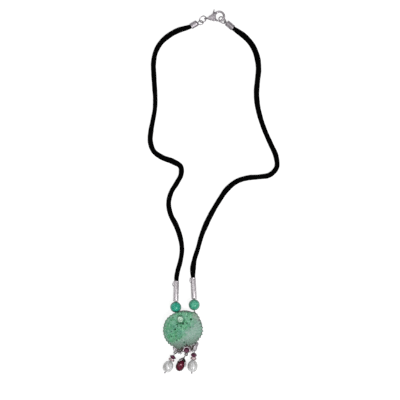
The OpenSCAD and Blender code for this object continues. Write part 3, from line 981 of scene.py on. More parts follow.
@dataclass(frozen=True)
class CordFinish:
    """Soft black braid: slanting strands along the cord, with a dull satin bloom."""

    strand: float = 0.55
    turns: float = 9.0
    blacks: tuple[Stop, ...] = ((0.2, "010101"), (0.9, "020202"), (1.0, "040404"))

    def build(self) -> Material:
        """Builds the braid on the cord's own length and girth.

        Returns:
            The material.
        """
        r = Recipe("cord_black")
        along = r.node("SeparateXYZ", Vector=r.uv)
        length = r.math("DIVIDE", along.outputs[0], self.strand)
        girth = r.times(along.outputs[1], self.turns)
        waves = []
        for way in (1.0, -1.0):
            phase = r.math("ADD", length, r.times(girth, way))
            waves.append(r.math("SINE", r.times(phase, 2 * math.pi)))
        fuzz = r.noise(4.0, 3.0)
        height = r.math("ADD", r.times(r.math("MAXIMUM", *waves), 0.35), fuzz)
        r.set(Base_Color=r.shades(height, *self.blacks), Roughness=r.spread(fuzz, 0.65, 0.85))
        r.set(Specular_IOR_Level=0.03)
        r.relief(height, 0.06)
        return r.material


@dataclass
class Finishes:
    """Every finish of the necklace, built once."""

    brushed: Material
    rivet: Material
    worn: Material
    aged: Material
    satin: Material
    oxidised: Material
    jade: Material
    bead_left: Material
    bead_right: Material
    garnet: Material
    drop: Material
    pink: Material
    pearl: Material
    cord: Material

    @classmethod
    def build(cls) -> "Finishes":
        """Builds all the finishes.

        Returns:
            The finishes, by the pieces' own names for them.
        """
        made = dict(
            brushed=SilverFinish(Metal.BRUSHED, "E9E4E7", "CCC6CA", "5E595B", roughness=0.44, dents=0.02),
            rivet=SilverFinish(Metal.FROSTED, "DDF3E4", "A9CDB6", "5E8A72", roughness=0.6),
            worn=SilverFinish(Metal.WORN, "C9C3C8", "948E93", "37333A", roughness=0.42),
            aged=SilverFinish(Metal.AGED, "A39DA2", "6F696E", "2E2A2E", roughness=0.42),
            satin=SilverFinish(Metal.SATIN, "DFD6D9", "B3A8AD", "453C42", roughness=0.45),
            # Blackened silver, also used for the painted shade of the sheet between the scrolls
            oxidised=SilverFinish(Metal.OXIDISED, "6E6660", "2A2522", "1C1816", roughness=0.45),
            jade=JadeFinish(),
            bead_left=BeadFinish("bead_deep", "1A8468", "28A78B", "5FCDB4", rim_shade="123A30"),
            bead_right=BeadFinish("bead_pale", "309A7C", "52B492", "86D6B8", rim_shade="24483B"),
            garnet=GemFinish("garnet", "4A0A2C", "96306A", clear=0.3),
            drop=GemFinish(
                "garnet_clear", "4E0720", "801A3A", clear=0.1, ior=1.6, edge="16020A", gloss=0.05,
                turned=(0.3, 1.0), shine=0.2, facet_highlight=(-11.5, -110.35, 5.4, 0.65),
            ),
            pink=GemFinish(
                "pink_stone", "BD9FA4", "D6BEC2", clear=0.1, ior=1.5, edge="5E4745", gloss=0.25,
                turned=(0.35, 0.98),
            ),
            pearl=PearlFinish(),
            cord=CordFinish(),
        )
        return cls(**{name: finish.build() for name, finish in made.items()})


# Pieces


@dataclass
class SoftCord:
    """A soft flattened cord along its real route."""

    name: str
    node: str
    # x, y, z, width and height at each point of its middle
    route: Sequence[Row]
    # Where it comes out of its cord end
    exit: Point
    length: float
    # Its average width
    width: float = 3.3
    sides: int = 20
    step: float = 0.8
    # How square its section is, from 1 for an ellipse down, and how far it stays above the table
    squareness: float = 0.8
    table_gap: float = 0.02
    # Height, rate and phase of the two slow waves in its width
    waves: tuple[Point, ...] = ((0.02, 0.7, 0.0), (0.015, 1.9, 1.3))

    def unrolled(self, run: np.ndarray) -> list[Pair]:
        """The cord's own length and girth at each corner of its faces.

        Args:
            run: how far along the cord each ring lies.

        Returns:
            The pairs, in the order of the faces.
        """
        k = self.sides
        pairs = []
        for start, end in zip(run[:-1], run[1:]):
            for c in range(k):
                pairs += [(start, c / k), (start, (c + 1) / k), (end, (c + 1) / k), (end, c / k)]
        for end in (0.0, run[-1]):
            for c in range(k):
                pairs += [(end, (c + 0.5) / k), (end, (c + 1) / k), (end, c / k)]
        return pairs

    def make(self, finish: Material) -> None:
        """Args:
            finish: the cord's material.
        """
        line = eased_line(self.route, self.step)
        tangent = np.gradient(line[:, :3], axis=0)
        tangent /= np.linalg.norm(tangent, axis=1)[:, None]
        side = np.cross(tangent, UP)
        side /= np.linalg.norm(side, axis=1)[:, None]
        up = np.cross(side, tangent)
        a = even_angles(self.sides)
        wide, high = (np.sign(f) * np.abs(f) ** self.squareness / 2 for f in (np.cos(a), np.sin(a)))
        run = np.arange(len(line)) * self.step
        pulse = np.ones(len(line))
        for height, rate, phase in self.waves:
            pulse += height * np.sin(run * rate + phase)
        rings = (
            line[:, None, :3]
            + side[:, None] * (line[:, 3] * pulse)[:, None, None] * wide[None, :, None]
            + up[:, None] * line[:, 4][:, None, None] * high[None, :, None]
        )
        rings[:, :, 2] = np.maximum(rings[:, :, 2], self.table_gap)
        shell = Shell()
        shell.skin(rings)
        shell.uvs = self.unrolled(run)
        piece = shell.build(self.name, finish)
        log.info("%s: %.1f mm long along its middle", self.name, length_of(line))
        place(piece, (self.node,))


@dataclass
class CordEnd:
    """A silver cup on a cord's upper end, with the loop soldered to it."""

    side: str
    mouth: Point
    end: Point
    # Middle, lean and its direction, and radius of the loop
    loop: tuple[Point, float, float, float]
    neck: Point | None = None
    radius: float = 1.7
    bore: float = 1.4
    wire: float = 0.6
    # Its width for its height
    pressed: float = 1.14

    def cup(self, way: np.ndarray, length: float) -> Shell:
        """Turns the cup with its rolled rim and rounded shut end, and presses it a little wider than high.

        Args:
            way: the direction from its mouth to its shut end.
            length: the distance between them.

        Returns:
            The cup's surface.
        """
        r, bore, n = self.radius, self.bore, length
        inside = [(bore, n - 1.2), (bore, 0.1)]
        rim = [(bore + 0.08, 0.0), (r - 0.06, 0.0), (r + 0.02, 0.1), (r + 0.02, 0.35), (r - 0.03, 0.45)]
        wall = [(r - 0.03, n * 0.5), (r, n - 0.5)]
        dome = [(r - 0.06, n - 0.3), (r - 0.22, n - 0.12), (r - 0.5, n - 0.02), (0.5, n), (0.05, n + 0.01)]
        floor = [(0.05, n - 1.1), (bore - 0.2, n - 1.15)]
        mouth = np.asarray(self.mouth)
        cup = Shell()
        cup.turned([*inside, *rim, *wall, *dome, *floor], mouth, way, sides=56, looped=True)
        side = unit(np.cross(way, UP))
        out = (cup.points[0] - mouth) @ side
        cup.points[0] = cup.points[0] + (self.pressed - 1) * out[:, None] * side
        return cup

    def make(self, finish: Material) -> None:
        """Builds the cup, its loop and the neck between them where one shows.

        Args:
            finish: its silver.
        """
        mouth, end = np.asarray(self.mouth), np.asarray(self.end)
        way, length = unit(end - mouth), float(np.linalg.norm(end - mouth))
        centre, tilt, turn, radius = self.loop
        wires = [Wire.ring(centre, radius, self.wire, tilt, turn)]
        if self.neck is not None:
            wires.append(Wire.along([(*(end - way * 0.5), 1.1), (*end, 0.95), (*self.neck, 0.8)]))
        piece = joined(f"cord_end_{self.side}", finish, wires, self.cup(way, length))
        place(piece, (f"end_cap_{self.side}",))


@dataclass
class OpenRing:
    """A jump ring, cut and closed again, so that its seam shows."""

    side: str
    centre: Point
    tilt: float
    turn: float
    radius: float
    seam: float
    wire: float = 0.7
    # Half the angle of the seam, in degrees
    gap: float = 1.2

    def make(self, finish: Material) -> None:
        """Builds the ring with its fine seam at a given angle.

        Args:
            finish: its silver.
        """
        start, end = self.seam + self.gap, self.seam + 360 - self.gap
        path = arc(self.centre, self.radius, start, end, self.tilt, self.turn, count=73)
        piece = joined(f"jump_ring_{self.side}", finish, [Wire.even(path, self.wire)])
        place(piece, (f"jump_ring_{self.side}",))


def softened(node: str, name: str, finish: Material, voxel: float, passes: int) -> Object:
    """A cast and tumbled copy of a node, with its facets and hard edges worn round.

    Args:
        node: the node that is copied.
        name: the new piece's name.
        finish: its material.
        voxel: the cell of the remesh, in millimetres.
        passes: how many times the surface is smoothed.

    Returns:
        The finished object.
    """
    source = bpy.data.objects.new(name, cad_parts[node].data.copy())
    work = bmesh.new()
    work.from_mesh(source.data)
    bmesh.ops.remove_doubles(work, verts=work.verts, dist=1e-7)
    bmesh.ops.recalc_face_normals(work, faces=work.faces)
    work.to_mesh(source.data)
    work.free()
    bpy.context.scene.collection.objects.link(source)
    cells = source.modifiers.new("Cells", "REMESH")
    cells.mode, cells.voxel_size = "VOXEL", voxel * MM
    wear = source.modifiers.new("Wear", "SMOOTH")
    wear.factor, wear.iterations = 0.5, passes
    mesh = baked(source)
    bpy.data.objects.remove(source)
    return finished(name, mesh, finish, turn=False)


@dataclass
class LobsterClasp:
    """The clasp: its body with the claw and the eye, and the lever that shuts it."""

    pivot: Pair = (9.139, 111.284)
    plane: float = 1.5
    half_thickness: float = 0.95
    rivet: float = 0.42
    # Share of the rivet's radius, and height, of each row of its domed head
    dome: tuple[Pair, ...] = ((1, 0.0), (1, 0.06), (0.8, 0.13), (0.4, 0.17), (0, 0.18))

    def make(self, finish: Material, aged: Material) -> None:
        """Builds the worn body with the rivet's two heads, and the darker lever.

        Args:
            finish: the body's silver.
            aged: the lever's silver.
        """
        body = softened("clasp_body", "clasp_claw", finish, voxel=0.09, passes=6)
        heads = Shell()
        outline = [(self.rivet * share, height) for share, height in self.dome]
        for way in (1.0, -1.0):
            foot = (*self.pivot, self.plane + way * self.half_thickness)
            heads.turned(outline, foot, vec(0, 0, way), sides=24)
        place(body, ("clasp_body",))
        place(heads.build("clasp_rivet", finish, TURNED))
        lever = softened("clasp_trigger", "clasp_lever", aged, voxel=0.05, passes=2)
        place(lever, ("clasp_trigger",), LEVER)


@dataclass
class LongTube:
    """A silver tube over a cord's lower end, with a small ring soldered to its side."""

    side: str
    end: Point
    way: Point
    # Middle of the side ring, and its lean in degrees
    ring: tuple[Point, float]
    ring_radius: float = 1.5
    ring_wire: float = 0.55
    length: float = 13.4
    radius: float = 1.7
    bore: float = 1.4
    hole: float = 0.4

    def make(self, finish: Material, aged: Material) -> None:
        """Builds the tube with rounded rims and a fine bead turned near each end, and its darker side ring.

        Args:
            finish: the tube's silver.
            aged: the side ring's silver.
        """
        r, n, bore = self.radius, self.length, self.bore
        shut_end = [(self.hole, 0.0), (r - 0.2, 0.0), (r - 0.05, 0.06), (r + 0.01, 0.2), (r + 0.01, 0.42)]
        wall = [
            (r - 0.07, 0.52), (r - 0.02, 0.64), (r - 0.01, n / 2), (r - 0.02, n - 0.72), (r - 0.07, n - 0.6),
        ]
        mouth = [(r + 0.01, n - 0.5), (r + 0.01, n - 0.12), (r - 0.05, n), (bore + 0.06, n), (bore, n - 0.1)]
        inside = [(bore, 1.0), (self.hole, 1.0)]
        tube = Shell()
        outline = [*shut_end, *wall, *mouth, *inside]
        tube.turned(outline, self.end, unit(np.asarray(self.way)), sides=64, looped=True)
        centre, tilt = self.ring
        loop = Wire.even(arc(centre, self.ring_radius, 115, 245, tilt), self.ring_wire)
        place(joined(f"tube_side_ring_{self.side}", aged, [loop]))
        place(tube.build(f"long_tube_{self.side}", finish, TURNED), (f"tube_{self.side}",))


@dataclass
class StoneBead:
    """A round drilled bead on its eye pin."""

    side: str
    centre: Point
    tube_end: Point
    tube_way: Point
    loop: Point
    radius: float = 3.55
    hole: float = 0.4
    # How far the edges of the hole are broken
    broken: float = 0.12
    wire: float = 0.5
    loop_radius: float = 0.66
    head_radius: float = 0.6
    head_depth: float = 1.7

    def bead(self, finish: Material) -> None:
        """Builds the bead, with the edges of its hole broken.

        Args:
            finish: its stone.
        """
        start = math.asin((self.hole + self.broken) / self.radius)
        angles = np.linspace(start, math.pi - start, 45)
        outline = [(self.radius * math.sin(a), -self.radius * math.cos(a)) for a in angles]
        edge = self.radius * math.cos(start) - self.broken
        outline += [(self.hole, edge), (self.hole, 0.0), (self.hole, -edge)]
        stone = Shell()
        stone.turned(outline, self.centre, vec(0, 1, 0), sides=72, looped=True)
        piece = stone.build(f"stone_bead_{self.side}", finish, TURNED)
        place(piece, (f"bead_{self.side}",))

    def pin(self, finish: Material) -> None:
        """Builds the pin: head in the tube, straight through the bead, and the turned loop.

        Args:
            finish: its silver.
        """
        end, way = np.asarray(self.tube_end), unit(np.asarray(self.tube_way))
        head = end + way * self.head_depth
        foot = vec(self.centre[0], self.centre[1] - self.radius - 0.15, self.centre[2])
        loop = np.asarray(self.loop)
        top = loop + vec(0, 0.3, self.loop_radius - 0.1)
        bend = (foot + top) / 2 + vec(0, 0.06, 0.12)
        d = self.wire - 0.04
        stem = Wire.along([(*head, d), (*(end - way * 0.1), d), (*foot, d), (*bend, d), (*top, d)])
        ring = Wire.ring(self.loop, self.loop_radius, self.wire, 90, 0)
        knob, r = Shell(), self.head_radius
        ball = [(r * math.sin(a), -r * math.cos(a)) for a in np.linspace(0.02, 3.12, 14)]
        knob.turned(ball, head, way, sides=24)
        piece = joined(f"eye_pin_{self.side}", finish, [stem, ring], knob)
        place(piece, (f"bead_wire_{self.side}",))


@dataclass
class CarvedJade:
    """The jade: a domed disc with a scalloped edge, a flower round the stud, leaves and drilled pits."""

    centre: Pair = (-10.2, -88.8)
    radius: float = 12.7
    back_z: float = 1.5
    flat_radius: float = 6.8
    edge_z: float = 6.6
    top_z: float = 11.0
    relief: float = 0.55
    scallops: int = 36
    scallop: float = 0.34
    stud: Pair = (-1.75, 7.6)
    dimple: float = 2.9
    dimple_z: float = 9.45
    # The carving: measures of petals, leaves, tendrils, high spots with their painted highlights, notches,
    # the groove cut in, and the painted shadow round the stud
    petals: int = 7
    petal_reach: float = 4.5
    petal_lobe: float = 1.9
    fibres: int = 5
    fibre_height: float = 0.06
    blade_height: float = 0.85
    rib_depth: float = 0.45
    rib_width: float = 0.17
    vein_depth: float = 0.16
    vein_pitch: float = 0.85
    vein_slant: float = 0.8
    tendril_height: float = 0.7
    tendril_width: float = 0.42
    highlight_spot_height: float = 0.12
    notch_start: float = 0.88
    notch_depth: float = 0.55
    groove_place: float = 0.885
    groove_width: float = 0.012
    groove_depth: float = 0.12
    stud_shadow_radius: float = 2.5
    stud_shadow_width: float = 0.65
    sectors: int = 432
    front_rings: int = 120
    # The share of the radius where the finer rings of the rim start, and how many there are
    rim_share: float = 0.94
    rim_rings: int = 15
    back_rings: int = 30
    outline_table: tuple[Pair, ...] = (
        (0, 1), (20, 1.005), (33, 1.03), (46, 1.1), (54, 1.125), (62, 1.085), (72, 1.02), (95, 0.996),
        (120, 1), (145, 1.025), (170, 1.005), (195, 0.985), (220, 0.965), (238, 0.925), (256, 0.955),
        (268, 0.84), (283, 0.73), (298, 0.835), (315, 0.88), (335, 0.915), (350, 0.975), (360, 1),
    )
    # Middle x and y from the jade's centre, direction, length and width of each leaf
    leaves: tuple[Row, ...] = (
        (6.4, 6.2, 52, 8.5, 3.4), (3.6, 8.6, 78, 5.5, 2.6), (-8.3, 6, 150, 6, 3),
        (-7.6, -0.5, 200, 7, 3.2), (-5.2, -6.6, 238, 7, 3.2), (0.6, -6.8, 285, 6.5, 3),
        (-9.2, 2.6, 175, 4.5, 2), (-1.2, -3.4, 262, 5, 2.4), (-4.6, 10.2, 118, 4.2, 2.2),
        (-3.4, -1.2, 215, 4.6, 2.2), (8.7, 3.1, 22, 4.6, 2), (-8.4, -5, 218, 4.4, 2),
    )
    # Middle x and y from the jade's centre, radius and depth of each drilled pit
    pits: tuple[Quad, ...] = (
        (5.1, 7.7, 0.5, 0.7), (-0.1, 5.05, 0.6, 0.8), (2.55, 5.0, 0.45, 0.35), (-3.6, 4.3, 0.5, 0.45),
        (-5.0, 1.25, 0.5, 0.7), (-7.45, -0.1, 0.4, 0.35), (-4.0, -5.7, 0.4, 0.45), (0.8, -7.0, 0.5, 0.3),
        (-6.45, 8.7, 0.4, 0.35), (-3.4, 3.1, 0.35, 0.3), (-4.6, -2.9, 0.35, 0.25), (4.6, 2.7, 0.35, 0.25),
        (-7.3, -3.2, 0.35, 0.25), (-1.2, -3.5, 0.4, 0.25), (-1.5, 3.3, 0.35, 0.25),
    )
    # Middle x and y from the jade's centre, and half width and height of each high spot, raised a little and
    # given a painted highlight
    highlight_spots: tuple[Quad, ...] = (
        (2.3, 10.9, 0.4, 0.9), (1.35, 8.6, 0.5, 0.6), (4.1, 6.1, 1.1, 0.35), (-0.2, 1.1, 0.4, 1.4),
        (-9.4, 0.2, 0.6, 0.6), (-2.6, -5.7, 0.5, 0.7), (5.0, 9.6, 0.4, 1.2), (-8.6, 3.6, 0.3, 1.2),
    )
    # y from the jade's centre, and the x there of the border between its green and its grey half
    border: tuple[Pair, ...] = (
        (-12.7, -10.0), (-8.7, -7.3), (-7.2, -5.2), (-6.1, -3.4), (-5.1, -1.3), (-3.7, 0.2), (-2.2, 1.4),
        (0.8, 2.1), (2.2, 3.0), (3, 5.6), (5, 6.0), (8, 6.3), (11, 7.2), (12.7, 7.6),
    )
    # Middle x and y from the jade's centre, first angle, turns and outer radius of each tendril
    tendrils: tuple[Row, ...] = (
        (-5.4, 3.4, 40, -1.4, 2.1), (-2.6, -6.3, 200, 1.3, 1.9), (-9.0, -2.3, 300, 1.2, 1.6),
        (2.6, 1.6, 120, 1.2, 1.8), (-6.2, -9.0, 30, 1.1, 1.5), (1.0, 10.2, 250, -1.1, 1.4),
    )

    def lower_right(self, degrees: np.ndarray) -> np.ndarray:
        """How near an angle is to the stone's lower right, from 0 to 1."""
        return smooth((np.cos(np.radians(degrees + 50)) + 0.7) / 1.2)

    def outline(self, degrees: np.ndarray) -> np.ndarray:
        """The outline's radius, with its scallops stronger below and on the right.

        Args:
            degrees: angles from +X.

        Returns:
            The radius at each angle.
        """
        table = np.array(self.outline_table)
        i = np.clip(np.searchsorted(table[:, 0], degrees, "right") - 1, 0, len(table) - 2)
        share = (degrees - table[i, 0]) / (table[i + 1, 0] - table[i, 0])
        base = table[i, 1] + (table[i + 1, 1] - table[i, 1]) * smooth(share)
        grow = 0.45 + 0.55 * self.lower_right(degrees)
        phase = np.radians(self.scallops * degrees)
        wave, ripple = np.cos(phase), 0.25 * np.cos(2 * phase)
        return self.radius * base + self.scallop * grow * (wave + ripple)

    def leaf_field(self, x: np.ndarray, y: np.ndarray) -> np.ndarray:
        """Height of the carved leaves: a raised blade, a cut midrib and slanting veins.

        Args:
            x: x of each point, from the jade's centre.
            y: y of each point.

        Returns:
            The height of each, from 0 to 1.
        """
        total = np.zeros_like(x)
        for cx, cy, turn, length, width in self.leaves:
            c, s = heading(turn)
            u = (x - cx) * c + (y - cy) * s
            v = -(x - cx) * s + (y - cy) * c
            half = width / 2 * (1 - (2 * u / length) ** 2)
            inside = half > 0.02
            near = np.where(inside, 1 - np.abs(v) / np.where(inside, half, 1.0), -1.0)
            blade = smooth(1.8 * near)
            rib = self.rib_depth * np.exp(-((v / self.rib_width) ** 2)) * smooth(2.5 * near)
            phase = 2 * math.pi * (u - self.vein_slant * np.abs(v)) / self.vein_pitch
            veins = self.vein_depth * (0.5 + 0.5 * np.cos(phase)) * smooth(1.5 * near)
            total = np.maximum(total, np.where(inside, blade * (self.blade_height - rib - veins), 0.0))
        return total

    def flower_field(self, x: np.ndarray, y: np.ndarray) -> np.ndarray:
        """Height of the flower round the stud: cupped petals with a cut line between them.

        Args:
            x: x of each point, from the jade's centre.
            y: y of each point.

        Returns:
            The height of each, from 0 to 1.
        """
        dx, dy = x - self.stud[0], y - self.stud[1]
        d, a = np.hypot(dx, dy), np.arctan2(dy, dx)
        lobe = np.abs(np.cos(self.petals * a / 2))
        reach = self.petal_reach + self.petal_lobe * np.sqrt(lobe)
        q = d / reach
        rim = smooth((1.0 - q) / 0.12) * (0.55 + 0.45 * smooth((q - 0.5) / 0.35))
        split = smooth((lobe - 0.05) / 0.3)
        inner = smooth((d - self.dimple) / 0.5)
        fibre = self.fibre_height * np.cos(self.petals * self.fibres * a) * smooth((d - 3.2) / 1.0)
        return np.where(q < 1, rim * split * inner + fibre * inner * (1 - q), 0.0)

    def scroll_field(self, x: np.ndarray, y: np.ndarray) -> np.ndarray:
        """Height of the carved tendrils that curl between the leaves.

        Args:
            x: x of each point, from the jade's centre.
            y: y of each point.

        Returns:
            The height of each, from 0 to 1.
        """
        total = np.zeros_like(x)
        t = np.linspace(0, 1, 70)
        for cx, cy, first, turns, reach in self.tendrils:
            r = reach * (1 - 0.8 * t)
            a = np.radians(first) + 2 * math.pi * turns * t
            px, py = cx + r * np.cos(a), cy + r * np.sin(a)
            box = (np.abs(x - cx) < reach + 1) & (np.abs(y - cy) < reach + 1)
            near = np.hypot(x[box][:, None] - px, y[box][:, None] - py).min(axis=1)
            height = self.tendril_height * smooth((self.tendril_width - near) / 0.3)
            total[box] = np.maximum(total[box], height)
        return total

    def front(self, s: np.ndarray, degrees: np.ndarray) -> tuple[np.ndarray, np.ndarray]:
        """The carved front.

        Args:
            s: the share of the outline's radius.
            degrees: the angle from +X.

        Returns:
            x, y and z of the points, and for each one the painted shade of pits and stud, the painted
            highlight, the painted shade of notches and rim, and how grey it is, in rows.
        """
        x, y = polar(s * self.outline(degrees), degrees)
        dome = self.edge_z + (self.top_z - self.relief - self.edge_z) * np.sqrt(np.maximum(0.0, 1 - s**2.4))
        # How far a point lies past the border, on the grey side
        table = np.array(self.border)
        side = x - np.interp(y, table[:, 0], table[:, 1])
        side = side - 0.25 * np.sin(1.7 * y + 0.5) - 0.15 * np.sin(3.9 * y)
        plain = smooth((side + 0.8) / 2.0)
        fade = smooth((1 - s) / 0.12)
        carved = np.maximum.reduce([self.flower_field(x, y), self.leaf_field(x, y), self.scroll_field(x, y)])
        carved = carved * fade * (1 - 0.75 * plain)
        ripple = 0.05 * np.sin(1.9 * x + 0.7 * np.sin(1.3 * y)) * np.sin(2.1 * y + 1.0)
        height = self.relief * carved + ripple * fade * (1 - 0.5 * plain)
        hollow = np.zeros_like(x)
        for px, py, radius, depth in self.pits:
            dig = smooth((radius + 0.2 - np.hypot(x - px, y - py)) / 0.38)
            height -= depth * dig
            hollow = np.maximum(hollow, dig)
        highlight = np.zeros_like(x)
        for px, py, wide, tall in self.highlight_spots:
            highlight = np.maximum(highlight, smooth(1.3 - np.hypot((x - px) / wide, (y - py) / tall)))
        height += self.highlight_spot_height * highlight * fade
        # Notches cut in from the edge between the scallops, and a groove inside them
        grow = 0.4 + 0.6 * self.lower_right(degrees)
        between = smooth((-np.cos(np.radians(self.scallops * degrees)) - 0.1) / 0.9)
        notch = between * smooth((s - self.notch_start) / 0.1) * grow
        groove = self.groove_depth * np.exp(-(((s - self.groove_place) / self.groove_width) ** 2))
        z = dome + height - self.notch_depth * notch - groove
        # The seat of the stud, sunk flat, and the painted shadow round it, a dark crescent in colour only
        d = np.hypot(x - self.stud[0], y - self.stud[1])
        inside = smooth((self.dimple + 0.12 - d) / 0.3)
        z = z * (1 - inside) + self.dimple_z * inside
        around = np.arctan2(y - self.stud[1], x - self.stud[0])
        ring = smooth(1 - np.abs(d - self.stud_shadow_radius) / self.stud_shadow_width)
        stud_shadow = ring * (0.5 + 0.5 * np.cos(2 * around - 2.6)) ** 0.7
        # Painted shade: darker in the drilled pits, and a painted shadow round the stud
        deep = np.clip(hollow + 0.8 * stud_shadow, 0, 1)
        # Painted highlight on the raised carving and the high spots
        shine = np.clip(0.35 * carved * (1 - hollow) + highlight, 0, 1)
        # Painted shade in the notches between the scallops and round the outer rim
        notch_shade = np.clip(notch + 0.45 * smooth((s - 0.945) / 0.045), 0, 1)
        band = 0.75 * smooth(1 - np.abs(s - 0.9) / 0.07) * smooth((-x - 3.0) / 4.0)
        grey = np.maximum(np.clip((side + 2.6) / 5.2, 0, 1), band)
        return np.column_stack([x, y, z]), np.column_stack([deep, shine, notch_shade, grey])

    def make(self, finish: Material) -> None:
        """Builds the carved disc, its fluted edge and its flat back.

        Args:
            finish: its stone.
        """
        angles = np.arange(self.sectors) * 360.0 / self.sectors
        fine = self.rim_share + (1 - self.rim_share) * np.linspace(0, 1, self.rim_rings + 1)[1:] ** 0.6
        s = np.concatenate([np.linspace(0.008, self.rim_share, self.front_rings), fine])
        grid_s, grid_a = (g.ravel() for g in np.meshgrid(s, angles, indexing="ij"))
        points, marks = self.front(grid_s, grid_a)
        front = points.reshape(len(s), self.sectors, 3)
        edge = self.outline(angles)
        notch, grey = marks.reshape(len(s), self.sectors, 4)[-1, :, 2:].T
        none = np.zeros(self.sectors)
        back, back_marks = [], []
        lift = front[-1, :, 2] - self.edge_z
        for h in 1 - np.linspace(0, 1, self.back_rings)[1:] ** 1.3:
            r = self.flat_radius + (edge - self.flat_radius) * math.sqrt(1 - (1 - h) ** 2)
            r = r - 0.28 * notch * smooth((h - 0.25) / 0.4)
            z = self.back_z + (self.edge_z - self.back_z) * h + lift * h**3
            back.append(np.column_stack([*polar(r, angles), z]))
            back_marks.append(np.column_stack([none, none, notch * h, grey]))
        for share in (0.66, 0.33):
            x, y = polar(self.flat_radius * share, angles)
            back.append(np.column_stack([x, y, np.full(self.sectors, self.back_z)]))
            back_marks.append(np.column_stack([none, none, none, grey]))
        rings = np.concatenate([front, np.array(back)])
        rings[:, :, 0] += self.centre[0]
        rings[:, :, 1] += self.centre[1]
        stone = Shell()
        stone.skin(rings)
        piece = stone.build("jade_carving", finish)
        # The last two points are the middles of the front and the back
        colours = np.vstack([marks, *back_marks, np.zeros((2, 4))])
        layer = piece.data.color_attributes.new("carving", "FLOAT_COLOR", "POINT")
        layer.data.foreach_set("color", colours.ravel())
        place(piece, ("jade",))


@dataclass
class Stud:
    """The silver rivet head in the flower, with a turned ring and a small ball."""

    centre: Pair = (-11.95, -81.2)
    base_z: float = 9.55
    radius: float = 1.95

    def make(self, finish: Material) -> None:
        """Builds the head as one turned piece.

        Args:
            finish: its silver.
        """
        r = self.radius
        rim = [(0, 0), (r - 0.1, 0), (r, 0.1), (r, 0.5), (r - 0.12, 0.78), (r - 0.4, 0.98), (r - 0.7, 1.08)]
        ring = [(r - 0.86, 0.98), (r - 1.0, 0.82), (r - 1.16, 0.8), (r - 1.3, 0.9)]
        ball = [(0.5, 1.02), (0.3, 1.1), (0.0, 1.13)]
        head = Shell()
        head.turned([*rim, *ring, *ball], (*self.centre, self.base_z), UP, sides=64)
        place(head.build("rivet_head", finish), ("stud",))


def strip(line: np.ndarray, thick: float) -> np.ndarray:
    """Rings of a flat strip that follows a line on the level.

    Args:
        line: x, y, z and half width at each point.
        thick: its thickness, upwards from the line.

    Returns:
        Four corners for each point of the line.
    """
    way = np.gradient(line[:, :2], axis=0)
    way /= np.linalg.norm(way, axis=1)[:, None]
    rings = []
    for (x, y, z, w), (tx, ty) in zip(line, way):
        side, base, lift = w * vec(-ty, tx, 0), vec(x, y, z), vec(0, 0, thick)
        rings.append([base - side + lift, base + side + lift, base + side, base - side])
    return np.array(rings)


def drawn(*paths: Sequence[Row]) -> list[Wire]:
    """Open wires through rows of x, y, z and thickness, one for each list of rows."""
    return [Wire.along(rows) for rows in paths]


